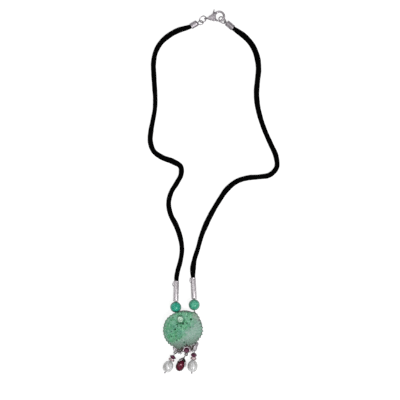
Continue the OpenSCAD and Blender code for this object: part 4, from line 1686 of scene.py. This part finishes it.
@dataclass
class PendantFrame:
    """The soldered frame: ring wire and seat behind the jade, scrolls, arch and loops below it."""

    middle: Pair = (-9.3, -87.4)
    ring_radius: float = 11.0
    seat: Pair = (-10.2, -88.8)
    spoke_start: float = 6.84
    gallery: float = 1.9
    garnet: Pair = (-7.95, -101.3)
    arch_radius: float = 2.1
    link_head: Pair = (-1.75, -97.25)
    # Thickness of the full faces of link and arm, and x, y, z and half width along each
    faces: tuple[tuple[float, tuple[Row, ...]], ...] = (
        (0.22, ((-1.7, -97.5, 2, 0.9), (-2.1, -98.7, 2, 0.95), (-2.45, -99.75, 2, 0.9),
                (-2.66, -100.4, 2, 0.7))),
        (0.3, ((-15, -97.6, 1.8, 0.7), (-15.5, -99.2, 1.9, 1.1), (-15.5, -100.6, 1.9, 1.15),
               (-15, -101.7, 1.9, 0.75))),
    )
    # x, y and half width along the two dark sheets, painted shade that stands for the shadow and oxide in the
    # recesses
    shade_sheets: tuple[tuple[Point, ...], ...] = (
        ((-15.6, -99.2, 1.0), (-14.6, -100.6, 1.35), (-12.9, -101.6, 1.35), (-11.2, -101.3, 1.3),
         (-10.2, -99.9, 1.0)),
        ((-8.2, -97.9, 0.5), (-6.7, -98.7, 0.9), (-5.5, -99.9, 1.1), (-4.5, -100.4, 1.1), (-3.4, -99.2, 1.1),
         (-2.9, -97.9, 0.8)),
    )

    def back_wires(self) -> list[Wire]:
        """Draws the ring wire, its spokes and the loops that carry the beads.

        Returns:
            The wires.
        """
        wires = [Wire.ring((*self.middle, 0.55), self.ring_radius, 1.1)]
        for degrees in (40, 130, 220, 310):
            c, s = heading(degrees)
            inner = (self.seat[0] + self.spoke_start * c, self.seat[1] + self.spoke_start * s, 0.65, 0.9)
            outer = (self.middle[0] + self.ring_radius * c, self.middle[1] + self.ring_radius * s, 0.6, 0.9)
            wires += drawn([inner, outer])
        wires += [Wire.ring((-14.9, -78.86, 2.12), 0.66, 0.5), Wire.ring((-2.95, -77.41, 1.9), 0.66, 0.5)]
        return wires + drawn(
            [(-15.15, -79.5, 2.1, 0.5), (-15.5, -79.6, 1.4, 0.5), (-15.4, -79.3, 0.7, 0.6)],
            [(-15.4, -79.6, 0.6, 0.6), (-14.9, -77.9, 0.55, 0.6)],
            [(-3.05, -78.05, 1.88, 0.5), (-3.25, -78.5, 1.4, 0.5), (-3.4, -78.7, 0.7, 0.6)],
        )

    def left_wires(self) -> list[Wire]:
        """Draws the tapering left arm, its loop and the waved bar with the curl below it.

        Returns:
            The wires.
        """
        g = self.gallery
        arm = [
            (-14.6, -95.4, 0.85, 1.1), (-15.2, -97.2, 1.1, 1.5), (-15.8, -99.2, 1.7, 1.65),
            (-15.75, -101, g, 1.15), (-15.5, -101.9, g, 0.7),
        ]
        bar = [
            (-15.6, -100.3, g, 0.8), (-14.3, -102.2, g, 0.95), (-12.8, -103.05, g, 1.0),
            (-11.4, -102.6, g, 0.9), (-10.45, -101.6, g, 0.85),
        ]
        curl = arc((-11.6, -103.35, g), 0.55, 100, 420)
        return [
            *drawn(arm, bar),
            Wire.along([(*p, 0.5 - 0.006 * i) for i, p in enumerate(curl)], 0.08),
            Wire.along([(-14.6, -100.2, 2.1, 0.5), (-13.4, -101.5, 2.3, 0.55), (-11.9, -101.5, 2.3, 0.5)]),
        ]

    def arch_wires(self) -> tuple[list[Wire], list[Wire]]:
        """Draws the arch over the middle garnet with its claws, and the two loops that carry drops.

        Returns:
            The arch's wires, and the loops.
        """
        x, y = self.garnet
        count = 30
        points = arc((x, y, self.gallery + 0.2), self.arch_radius, -14, 194, count=count)
        rows = [(*p, 0.95 + 0.3 * math.sin(math.pi * i / (count - 1))) for i, p in enumerate(points)]
        rows = [(x + 3.5, y - 1.0, 1.9, 0.8), *rows, (x - 3.3, y - 0.9, 1.9, 0.85)]
        hooks = [
            Wire.ring((-8.2, -104.0, self.gallery), 0.8, 0.66),
            Wire.ring((-15.23, -102.78, self.gallery), 0.8, 0.62),
        ]
        claws = []
        for degrees in (35, 145, 215, 325):
            c, s = heading(degrees)
            foot, tip = (x + 1.95 * c, y + 1.95 * s), (x + 1.5 * c, y + 1.5 * s)
            claws.append([(*foot, 1.5, 0.4), (*foot, 2.7, 0.38), (*tip, 3.2, 0.3)])
        return drawn(rows, *claws), hooks

    def right_wires(self) -> list[Wire]:
        """Draws the long link, the bar to the arch and the ring at the link's head.

        Returns:
            The wires.
        """
        g = self.gallery
        top, foot, r = vec(-1.65, -97.4, g), vec(-2.8, -100.85, g), 0.9
        way = unit(top - foot)
        turn = math.degrees(math.atan2(way[1], way[0]))
        bends = [arc(top, r, turn + 90, turn - 90, count=15), arc(foot, r, turn - 90, turn - 270, count=15)]
        bar = [(-5.6, -101.5, g, 0.85), (-4.6, -102.0, g, 0.85), (-3.6, -101.5, g, 0.8)]
        slot = [(-5.3, -100.2, 2.0, 0.5), (-4.6, -98.6, 2.3, 0.6), (-3.5, -97.3, 2.3, 0.6)]
        return [
            Wire.even(np.vstack(bends), 0.8, True),
            *drawn(bar, slot),
            Wire.ring((*self.link_head, g + 0.65), 1.15, 0.75),
            Wire.along([(-3.1, -96.9, 0.7, 0.9), (-2.7, -97.2, g + 0.1, 0.9)]),
        ]

    def plates(self) -> Shell:
        """Makes the seat, the garnet's cup, the dome in the link's ring and the full faces of link and arm.

        Returns:
            Their surfaces.
        """
        solid = Shell()
        seat = [(5.9, 0), (7.6, 0), (7.6, 1.15), (7.5, 1.33), (7.3, 1.4), (6.2, 1.4), (6, 1.33), (5.9, 1.15)]
        solid.turned(seat, (*self.seat, 0.0), UP, sides=96, looped=True)
        cup = [(0.05, 0), (2, 0), (2.2, 0.15), (2.2, 0.7), (2.1, 0.8), (1.6, 0.75), (0.6, 0.6), (0.05, 0.58)]
        solid.turned(cup, (*self.garnet, 0.9), UP, sides=48, looped=True)
        dome = [(0.0, 0.0), (0.95, 0.0), (0.95, 0.25), (0.8, 0.55), (0.5, 0.75), (0.0, 0.85)]
        solid.turned(dome, (*self.link_head, 2.3), UP, sides=32)
        for thick, rows in self.faces:
            solid.skin(strip(eased_line(rows, 0.25), thick))
        return solid

    def recess(self) -> Shell:
        """Makes the dark sheets that show between the scrolls, painted shade that stands for the shadow and
        oxide there.

        Returns:
            Its surfaces.
        """
        sheet = Shell()
        for rows in self.shade_sheets:
            sheet.skin(strip(eased_line([(x, y, 1.75, w) for x, y, w in rows], 0.3), 0.2))
        return sheet

    def make(self, finishes: Finishes) -> None:
        """Builds the frame, and the dark sheet between its scrolls, which is painted shade for the shadow and
        oxide there.

        Args:
            finishes: the necklace's finishes.
        """
        arch, hooks = self.arch_wires()
        wires = [*self.back_wires(), *self.left_wires(), *self.right_wires()]
        setting = joined("pendant_setting", finishes.worn, wires, self.plates())
        place(setting, ("pendant_frame",))
        place(joined("setting_arch", finishes.satin, arch))
        # The dark sheet is painted shade for the shadow and oxide in the recess; the hooks share its
        # blackened silver
        place(joined("scroll_recess", finishes.oxidised, hooks, self.recess()))


@dataclass
class CentreGarnet:
    """The round garnet under the arch."""

    centre: Point = (-7.95, -101.3, 2.85)
    radius: float = 1.6
    facets: int = 10
    # Radius and height of each row of corners, for a radius of 1
    rows: tuple[Pair, ...] = (
        (0.5, -0.42), (1, -0.08), (1, 0.08), (0.8, 0.28), (0.52, 0.42),
    )

    def make(self, finish: Material) -> None:
        """Builds the stone with its table, crown, girdle and pavilion.

        Args:
            finish: its stone.
        """
        r = self.radius
        stone = Shell()
        rows = [(0.02, -0.65 * r), *((wide * r, height * r) for wide, height in self.rows)]
        stone.gem(rows, self.centre, UP, self.facets)
        place(stone.build("arch_garnet", finish, FACETED), ("centre_garnet",))


@dataclass
class PearlDrop:
    """A pearl under a garnet and a pink rondelle, on one pin with a drawn tip."""

    side: str
    loop: Point
    lean: float
    # How far down its middle lies, radius, thickness, and its ends' share of the radius
    garnet: Quad
    # How far down its middle lies, radius and thickness
    pink: Point
    # How far down the pearl's middle and the pin's tip lie
    pearl: float
    length: float
    rise: float = 8.5
    wire: float = 0.5
    loop_radius: float = 0.8
    hole: float = 0.35
    pearl_width: float = 6.4
    pearl_length: float = 7.8
    # Angle from the pearl's upper end in radians, depth and width of each growth groove
    grooves: tuple[Point, ...] = ((0.75, 0.006, 0.05), (2.3, 0.004, 0.06))

    def way(self) -> np.ndarray:
        """The direction in which the drop hangs."""
        return hanging(self.lean, self.rise)

    def at(self, distance: float) -> np.ndarray:
        """The point at a distance from the loop's middle, down the drop."""
        return np.asarray(self.loop) + self.way() * distance

    def make(self, finishes: Finishes) -> None:
        """Builds the pin, both rondelles and the pearl.

        Args:
            finishes: the necklace's finishes.
        """
        place(self.pin_piece(finishes.worn), (f"drop_pin_{self.side}",))

        way, (along, r, t, waist) = self.way(), self.garnet
        stone = Shell()
        rows = [(r * waist, -t / 2), (r * 0.92, -t * 0.2), (r, 0.0), (r * 0.92, t * 0.2), (r * waist, t / 2)]
        stone.gem(rows, self.at(along), way, sides=12, hole=self.hole)
        name = f"garnet_rondelle_{self.side}"
        place(stone.build(f"{name}_cut", finishes.garnet, FACETED), (name,))

        along, r, t = self.pink
        inner = self.hole + 0.1
        half = [(r, t * 0.18), (r * 0.9, t * 0.42), (r * 0.7, t / 2), (inner, t * 0.45)]
        outline = [*((wide, -height) for wide, height in half[::-1]), *half]
        disc = Shell()
        disc.gem(outline, self.at(along), way, sides=14, hole=self.hole)
        name = f"pink_rondelle_{self.side}"
        place(disc.build(f"{name}_cut", finishes.pink, sharp=35), (name,))

        place(self.pearl_piece(finishes.pearl), (f"pearl_{self.side}",))

    def pin_piece(self, finish: Material) -> Object:
        """Builds the pin: its loop, the wire wound under it, the stem and the drawn tip.

        Args:
            finish: its silver.

        Returns:
            The finished object.
        """
        way = self.way()
        ring = Wire.ring(self.loop, self.loop_radius, self.wire, 90, 180 - self.lean)
        stem = Wire.along([(*self.at(self.loop_radius), self.wire), (*self.at(self.length - 0.6), self.wire)])
        u, v = across(way)
        coil = []
        for t, a in zip(np.linspace(0, 1, 25), np.linspace(0, 4 * math.pi, 25)):
            middle = self.at(self.loop_radius + 0.18 + 0.36 * t)
            coil.append((*(middle + 0.36 * (math.cos(a) * u + math.sin(a) * v)), 0.24))
        tip = Shell()
        cone = [(0, -1), (0.4, -1), (0.55, -0.9), (0.53, -0.65), (0.46, -0.4), (0.36, -0.12), (0.22, 0)]
        tip.turned([*cone, (0, 0.03)], self.at(self.length), way, sides=28)
        return joined(f"drop_pin_{self.side}_wire", finish, [ring, stem, Wire.along(coil, 0.1)], tip)

    def pearl_piece(self, finish: Material) -> Object:
        """Builds the pearl: an oval a little fuller below, with faint growth rings and dents.

        Args:
            finish: its nacre.

        Returns:
            The finished object.
        """
        rows, sides, start = 56, 72, 0.11
        way, middle = self.way(), self.at(self.pearl)
        turn = even_angles(sides)
        circle = spokes(turn, *across(way))
        rings = []
        for a in np.linspace(start, math.pi - start, rows):
            r = self.pearl_width / 2 * math.sin(a) ** 0.92 * (1 - 0.05 * math.cos(a))
            h = -self.pearl_length / 2 * math.cos(a)
            wobble = 1 + 0.006 * np.sin(2 * turn + 1.1) * math.sin(a) + 0.004 * np.sin(5 * turn + 3 * a)
            groove = 1.0
            for angle, depth, width in self.grooves:
                groove -= depth * math.exp(-(((a - angle) / width) ** 2))
            rings.append(middle + way * h + (r * wobble * groove)[:, None] * circle)
        # The wall of the hole, back from the lower end to the upper one
        for h in (0.46, 0.0, -0.46):
            rings.append(middle + way * h * self.pearl_length + self.hole * circle)
        shell = Shell()
        shell.skin(np.array(rings), looped=True)
        return shell.build(f"pearl_{self.side}_nacre", finish, sharp=60)


@dataclass
class GarnetDrop:
    """The middle drop: a pear-shaped garnet in a silver cap with wire wound round its shoulder."""

    loop: Point = (-8.68, -104.64, 1.9)
    neck: Point = (-9.75, -106.35, 2.15)
    lean: float = 24.7
    rise: float = 8.5
    width: float = 5.6
    sides: int = 12
    loop_radius: float = 0.8
    wire: float = 0.5
    # How far down the drop, out to the right and up each point of the tendril lies, and its thickness
    tendril: tuple[Quad, ...] = (
        (0.2, 0.7, 0.3, 0.5), (1.3, 1.7, 0.3, 0.7), (2.6, 2.55, 0.2, 0.75),
        (3.8, 3.0, 0.1, 0.7), (4.7, 3.1, 0, 0.45),
    )
    # x, y, z and thickness along the two wires that cross the cap
    crossing: tuple[Quad, ...] = (
        (-13.75, -108.85, 3.0, 0.6), (-13.15, -108.3, 4.0, 0.9), (-12.05, -107.65, 4.7, 0.95),
        (-11, -107.05, 4.4, 0.9), (-10.1, -106.6, 3.5, 0.6),
    )
    upper: tuple[Quad, ...] = (
        (-12.7, -107.2, 3.1, 0.4), (-11.7, -106.65, 3.8, 0.5),
        (-10.8, -106.25, 3.4, 0.5), (-10, -106.1, 2.9, 0.4),
    )
    # Radius and height of the cap's outline, and share of radius and height of the stone's rows of corners
    cone: tuple[Pair, ...] = (
        (0.45, 0.1), (0.62, 0), (1.1, 0.55), (1.65, 1.1), (2.2, 1.75), (2.27, 1.9), (2.14, 1.92), (1.5, 1.25),
        (0.45, 0.45),
    )
    pear: tuple[Pair, ...] = (
        (0.4, 1.5), (0.66, 2.4), (0.88, 3.7), (1.0, 5.2), (0.97, 6.6), (0.75, 7.9), (0.42, 8.7), (0.06, 9.0),
    )

    def coil(self, way: np.ndarray) -> list[Row]:
        """Winds the wire round the stone's shoulder.

        Args:
            way: the direction in which the drop hangs.

        Returns:
            x, y, z and thickness at each of its points.
        """
        neck = np.asarray(self.neck)
        u, v = across(way)
        rows = []
        for t in np.linspace(0, 1, 48):
            a, r = 1.0 + 2.7 * math.pi * t, 0.75 + 1.4 * t
            down = 0.4 + 1.5 * t + 0.3 * math.sin(a + 1.0)
            rows.append((*(neck + way * down + r * (math.cos(a) * u + math.sin(a) * v)), 0.36))
        return rows

    def make(self, finishes: Finishes) -> None:
        """Builds the cap with its wire, and the stone.

        Args:
            finishes: the necklace's finishes.
        """
        way, neck = hanging(self.lean, self.rise), np.asarray(self.neck)
        stem_top = np.asarray(self.loop) + vec(-0.48, -0.64, 0)
        turn = math.degrees(math.atan2(stem_top[0] - self.loop[0], self.loop[1] - stem_top[1])) + 180
        right = unit(np.cross(way, UP)) * -1
        tendril = [(*(neck + way * d + right * o + vec(0, 0, z)), t) for d, o, z, t in self.tendril]
        wires = [
            Wire.ring(self.loop, self.loop_radius, self.wire, 90, turn),
            *drawn(tendril, self.coil(way), self.crossing, self.upper),
        ]
        stem = Wire.along([(*stem_top, 0.75), (*((stem_top + neck) / 2), 0.85), (*neck, 0.95)])
        cap = Shell()
        cap.turned(self.cone, neck, way, sides=48, looped=True)
        place(joined("drop_cap_wound", finishes.satin, wires), ("drop_cap",))
        place(joined("drop_cap_cup", finishes.oxidised, [stem], cap))

        r = self.width / 2
        stone = Shell()
        stone.gem([(0.1, 0.95), *((share * r, h) for share, h in self.pear)], neck, way, self.sides)
        place(stone.build("garnet_drop_cut", finishes.drop, FACETED), ("garnet_drop",))


@dataclass
class Studio:
    """Camera, soft lights and the pale table."""

    # Middle and width of the picture on the table, the camera's height over it and the width of its sensor
    middle: Pair = (0.64, -5.3)
    view: float = 256.0
    height: float = 1500.0
    sensor: float = 36.0
    # From here on in metres and watts: where the camera starts and stops seeing, and half the table's side
    clip: Pair = (0.05, 20.0)
    half_table: float = 2.5
    # Name, place, size and power of each lamp
    lamps: tuple[tuple[str, Point, float, float], ...] = (
        ("key", (0.5, -0.55, 1.25), 0.35, 10.0), ("fill", (-0.9, 0.7, 1.3), 0.9, 4.0),
    )
    # The sky's grey at the horizon and overhead, and where between them it starts and ends its change
    sky: tuple[tuple[float, Quad], ...] = (
        (0.3, (0.1, 0.1, 0.105, 1)), (0.95, (0.62, 0.62, 0.62, 1)),
    )

    def camera(self) -> None:
        """Sets the camera straight above, with the photograph's frame."""
        data = bpy.data.cameras.new("overhead")
        data.sensor_width = self.sensor
        data.lens = self.sensor * self.height / self.view
        data.clip_start, data.clip_end = self.clip
        camera = bpy.data.objects.new("overhead", data)
        camera.location = (self.middle[0] * MM, self.middle[1] * MM, self.height * MM)
        bpy.context.scene.collection.objects.link(camera)
        bpy.context.scene.camera = camera

    def table(self) -> None:
        """Lays the pale table under the necklace."""
        r = Recipe("table_paper")
        r.set(Base_Color=r.shades(r.noise(0.02), (0.3, "A6A6A6"), (0.7, "AAAAAA")), Roughness=0.9)
        r.set(Emission_Color=(1.0, 1.0, 1.0, 1.0), Emission_Strength=0.82, Specular_IOR_Level=0.1)
        mesh = bpy.data.meshes.new("table")
        h = self.half_table
        mesh.from_pydata([(-h, -h, 0), (h, -h, 0), (h, h, 0), (-h, h, 0)], [], [(0, 1, 2, 3)])
        finished("table", mesh, r.material, turn=False)

    def lights(self) -> None:
        """Hangs a small light lower right and a large one upper left, under a sky dark at the horizon."""
        for name, position, size, power in self.lamps:
            data = bpy.data.lights.new(name, "AREA")
            data.shape, data.size, data.energy = "DISK", size, power
            light = bpy.data.objects.new(name, data)
            light.location = position
            light.rotation_euler = (-Vector(position)).to_track_quat("-Z", "Y").to_euler()
            bpy.context.scene.collection.objects.link(light)
        world = bpy.data.worlds.new("studio")
        bpy.context.scene.world = world
        world.use_nodes = True
        tree = world.node_tree
        kinds = ("TexCoord", "SeparateXYZ", "ValToRGB")
        coords, parts, ramp = (tree.nodes.new(f"ShaderNode{kind}") for kind in kinds)
        for element, (position, grey) in zip(ramp.color_ramp.elements, self.sky):
            element.position, element.color = position, grey
        tree.links.new(coords.outputs["Generated"], parts.inputs[0])
        tree.links.new(parts.outputs[2], ramp.inputs[0])
        tree.links.new(ramp.outputs[0], tree.nodes["Background"].inputs[0])
        bpy.context.scene.view_settings.view_transform = "Standard"


@dataclass
class Necklace:
    """The whole necklace, made in order from its cords to its drops."""

    finishes: Finishes

    def cords(self) -> None:
        """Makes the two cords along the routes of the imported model."""
        left = [
            (-2.6, 107.1, 1.9, 2.7, 2.7), (-5.2, 105.7, 1.75, 2.7, 2.7), (-7.5, 104.9, 1.5, 3.2, 2.6),
            (-12.9, 103.3, 1.2, 3.6, 2.3), (-19.9, 99.4, 1.15, 3.6, 2.2), (-24.2, 95.5, 1.15, 3.4, 2.2),
            (-27.7, 89.4, 1.15, 3.2, 2.2), (-29.1, 82, 1.1, 3.3, 2.2), (-28.9, 75, 1.1, 3.3, 2.2),
            (-28.4, 67, 1.1, 3.2, 2.2), (-28, 60, 1.1, 3, 2.2), (-28.2, 53, 1.1, 2.9, 2.2),
            (-29.4, 46, 1.1, 3, 2.2), (-30.7, 39, 1.1, 3.3, 2.2), (-31.1, 32, 1.1, 3.4, 2.2),
            (-29, 26, 1.1, 3.3, 2.2), (-23.7, 22, 1.1, 3.5, 2.2), (-16.5, 19.2, 1.1, 3.7, 2.2),
            (-11.7, 16, 1.15, 3.4, 2.3), (-11.4, 11.4, 1.15, 3.3, 2.3), (-14.2, 5.6, 1.1, 3.2, 2.2),
            (-17.7, -0.2, 1.1, 3.1, 2.2), (-19.4, -7, 1.1, 3.2, 2.2), (-18.1, -14.6, 1.1, 3.3, 2.2),
            (-14.7, -21.4, 1.1, 3.5, 2.2), (-12.1, -28.8, 1.1, 3.3, 2.2), (-10.9, -36.5, 1.1, 3, 2.2),
            (-11.9, -44.5, 1.1, 3, 2.2), (-13.8, -51.5, 1.2, 3.1, 2.3), (-14.4, -55.6, 1.55, 2.9, 2.7),
            (-14.4, -56.9, 1.73, 2.7, 2.7), (-14.55, -61, 2.3, 2.7, 2.7),
        ]
        right = [
            (19.5, 106.5, 1.75, 2.7, 2.7), (21.9, 104.5, 1.75, 2.7, 2.7), (24.2, 102.9, 1.5, 3.4, 2.7),
            (29.8, 98.7, 1.2, 3.8, 2.3), (34.2, 93.4, 1.2, 3.7, 2.3), (37.2, 86, 1.15, 3.8, 2.2),
            (38.1, 78.5, 1.1, 3.6, 2.2), (37.4, 71, 1.1, 3.5, 2.2), (36.8, 63.5, 1.1, 3.6, 2.2),
            (37.3, 56, 1.1, 3.5, 2.2), (39.2, 47.5, 1.1, 3.3, 2.2), (42.2, 38.8, 1.1, 3.2, 2.2),
            (45.9, 30.4, 1.1, 3.3, 2.2), (49.3, 22.4, 1.1, 3.4, 2.2), (49.6, 15.4, 1.15, 3.2, 2.3),
            (45.5, 10.9, 1.15, 3.4, 2.3), (38.5, 9.5, 1.1, 3.2, 2.2), (31.5, 8.9, 1.1, 3.4, 2.2),
            (24.5, 6.8, 1.1, 3.3, 2.2), (18.1, 1.8, 1.1, 3.6, 2.2), (13, -5.4, 1.1, 3.3, 2.2),
            (8.5, -12.9, 1.1, 3.4, 2.2), (4.7, -20.5, 1.1, 3.6, 2.2), (1.5, -28.5, 1.1, 3.1, 2.2),
            (-0.7, -36.4, 1.1, 3, 2.2), (-3.1, -44.2, 1.1, 3.2, 2.2), (-3.9, -50, 1.15, 3.7, 2.3),
            (-3.85, -53.8, 1.5, 3, 2.7), (-3.75, -55.1, 1.73, 2.7, 2.7), (-3.55, -59.2, 2.3, 2.7, 2.7),
        ]
        for name, node, route, start, length in (
            ("left_cord", "cord_left", left, (-5.1, 105.75, 1.75), 197),
            ("right_cord", "cord_right", right, (21.8, 104.55, 1.75), 203),
        ):
            SoftCord(name, node, route, start, length).make(self.finishes.cord)

    def fastening(self) -> None:
        """Makes the cord ends, the jump rings and the clasp."""
        f = self.finishes
        loop_left = ((1.01, 108.0, 2.16), 36.6, 97.5, 1.69)
        loop_right = ((16.85, 108.52, 1.4), 121.5, 46.1, 0.97)
        neck = (-0.67, 107.92, 2.06)
        for piece in (
            CordEnd("left", mouth=(-5.1, 105.75, 1.75), end=(-1, 108, 2), loop=loop_left, neck=neck),
            CordEnd("right", mouth=(21.8, 104.55, 1.75), end=(17.65, 108.1, 1.75), loop=loop_right),
            OpenRing("left", (2.45, 110.23, 2.07), tilt=38.9, turn=-48.5, radius=2.25, seam=70),
            OpenRing("right", (14.84, 109.71, 2.015), tilt=43, turn=42.1, radius=2.43, seam=200),
        ):
            piece.make(f.worn)
        LobsterClasp().make(f.worn, f.aged)

    def hangers(self) -> None:
        """Makes the tubes and the beads that carry the pendant."""
        f = self.finishes
        # Middle of each tube's shut end, and the way that the tube runs from there
        left = ((-14.82, -69.95, 3.5), (0.4, 13.15, -1.76))
        right = ((-3.1, -68.4, 3.5), (-0.65, 13.4, -1.76))
        for tube in (
            LongTube("left", *left, ring=((-15.35, -59.15, 2.05), 0), length=12.9),
            LongTube("right", *right, ring=((-4.78, -56.6, 1.95), 40)),
        ):
            tube.make(f.brushed, f.worn)
        for bead, finish in (
            (StoneBead("left", (-14.85, -73.7, 3.55), *left, loop=(-14.9, -78.2, 2.12)), f.bead_left),
            (StoneBead("right", (-3.05, -72.2, 3.55), *right, loop=(-2.95, -76.75, 1.9)), f.bead_right),
        ):
            bead.bead(finish)
            bead.pin(f.worn)

    def pendant(self) -> None:
        """Makes the jade, its setting and the three drops."""
        f = self.finishes
        CarvedJade().make(f.jade)
        Stud().make(f.rivet)
        PendantFrame().make(f)
        CentreGarnet().make(f.garnet)
        PearlDrop(
            "left", (-15.6, -103.5, 1.9), lean=27, garnet=(2.5, 2.2, 2.1, 0.5), pink=(4.42, 2.0, 1.5),
            pearl=9.18, length=14.2,
        ).make(f)
        PearlDrop(
            "right", (-2.95, -101.75, 1.9), lean=7, garnet=(2.65, 2.05, 2.5, 0.6), pink=(4.88, 1.95, 1.7),
            pearl=9.75, length=14.8,
        ).make(f)
        GarnetDrop().make(f)


def main() -> None:
    """Makes the studio and the necklace."""
    logging.basicConfig(level=logging.INFO, format="%(name)s: %(message)s")
    studio = Studio()
    studio.camera()
    necklace = Necklace(Finishes.build())
    necklace.cords()
    necklace.fastening()
    necklace.hangers()
    necklace.pendant()
    studio.table()
    studio.lights()
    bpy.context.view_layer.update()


if __name__ == "__main__":
    main()
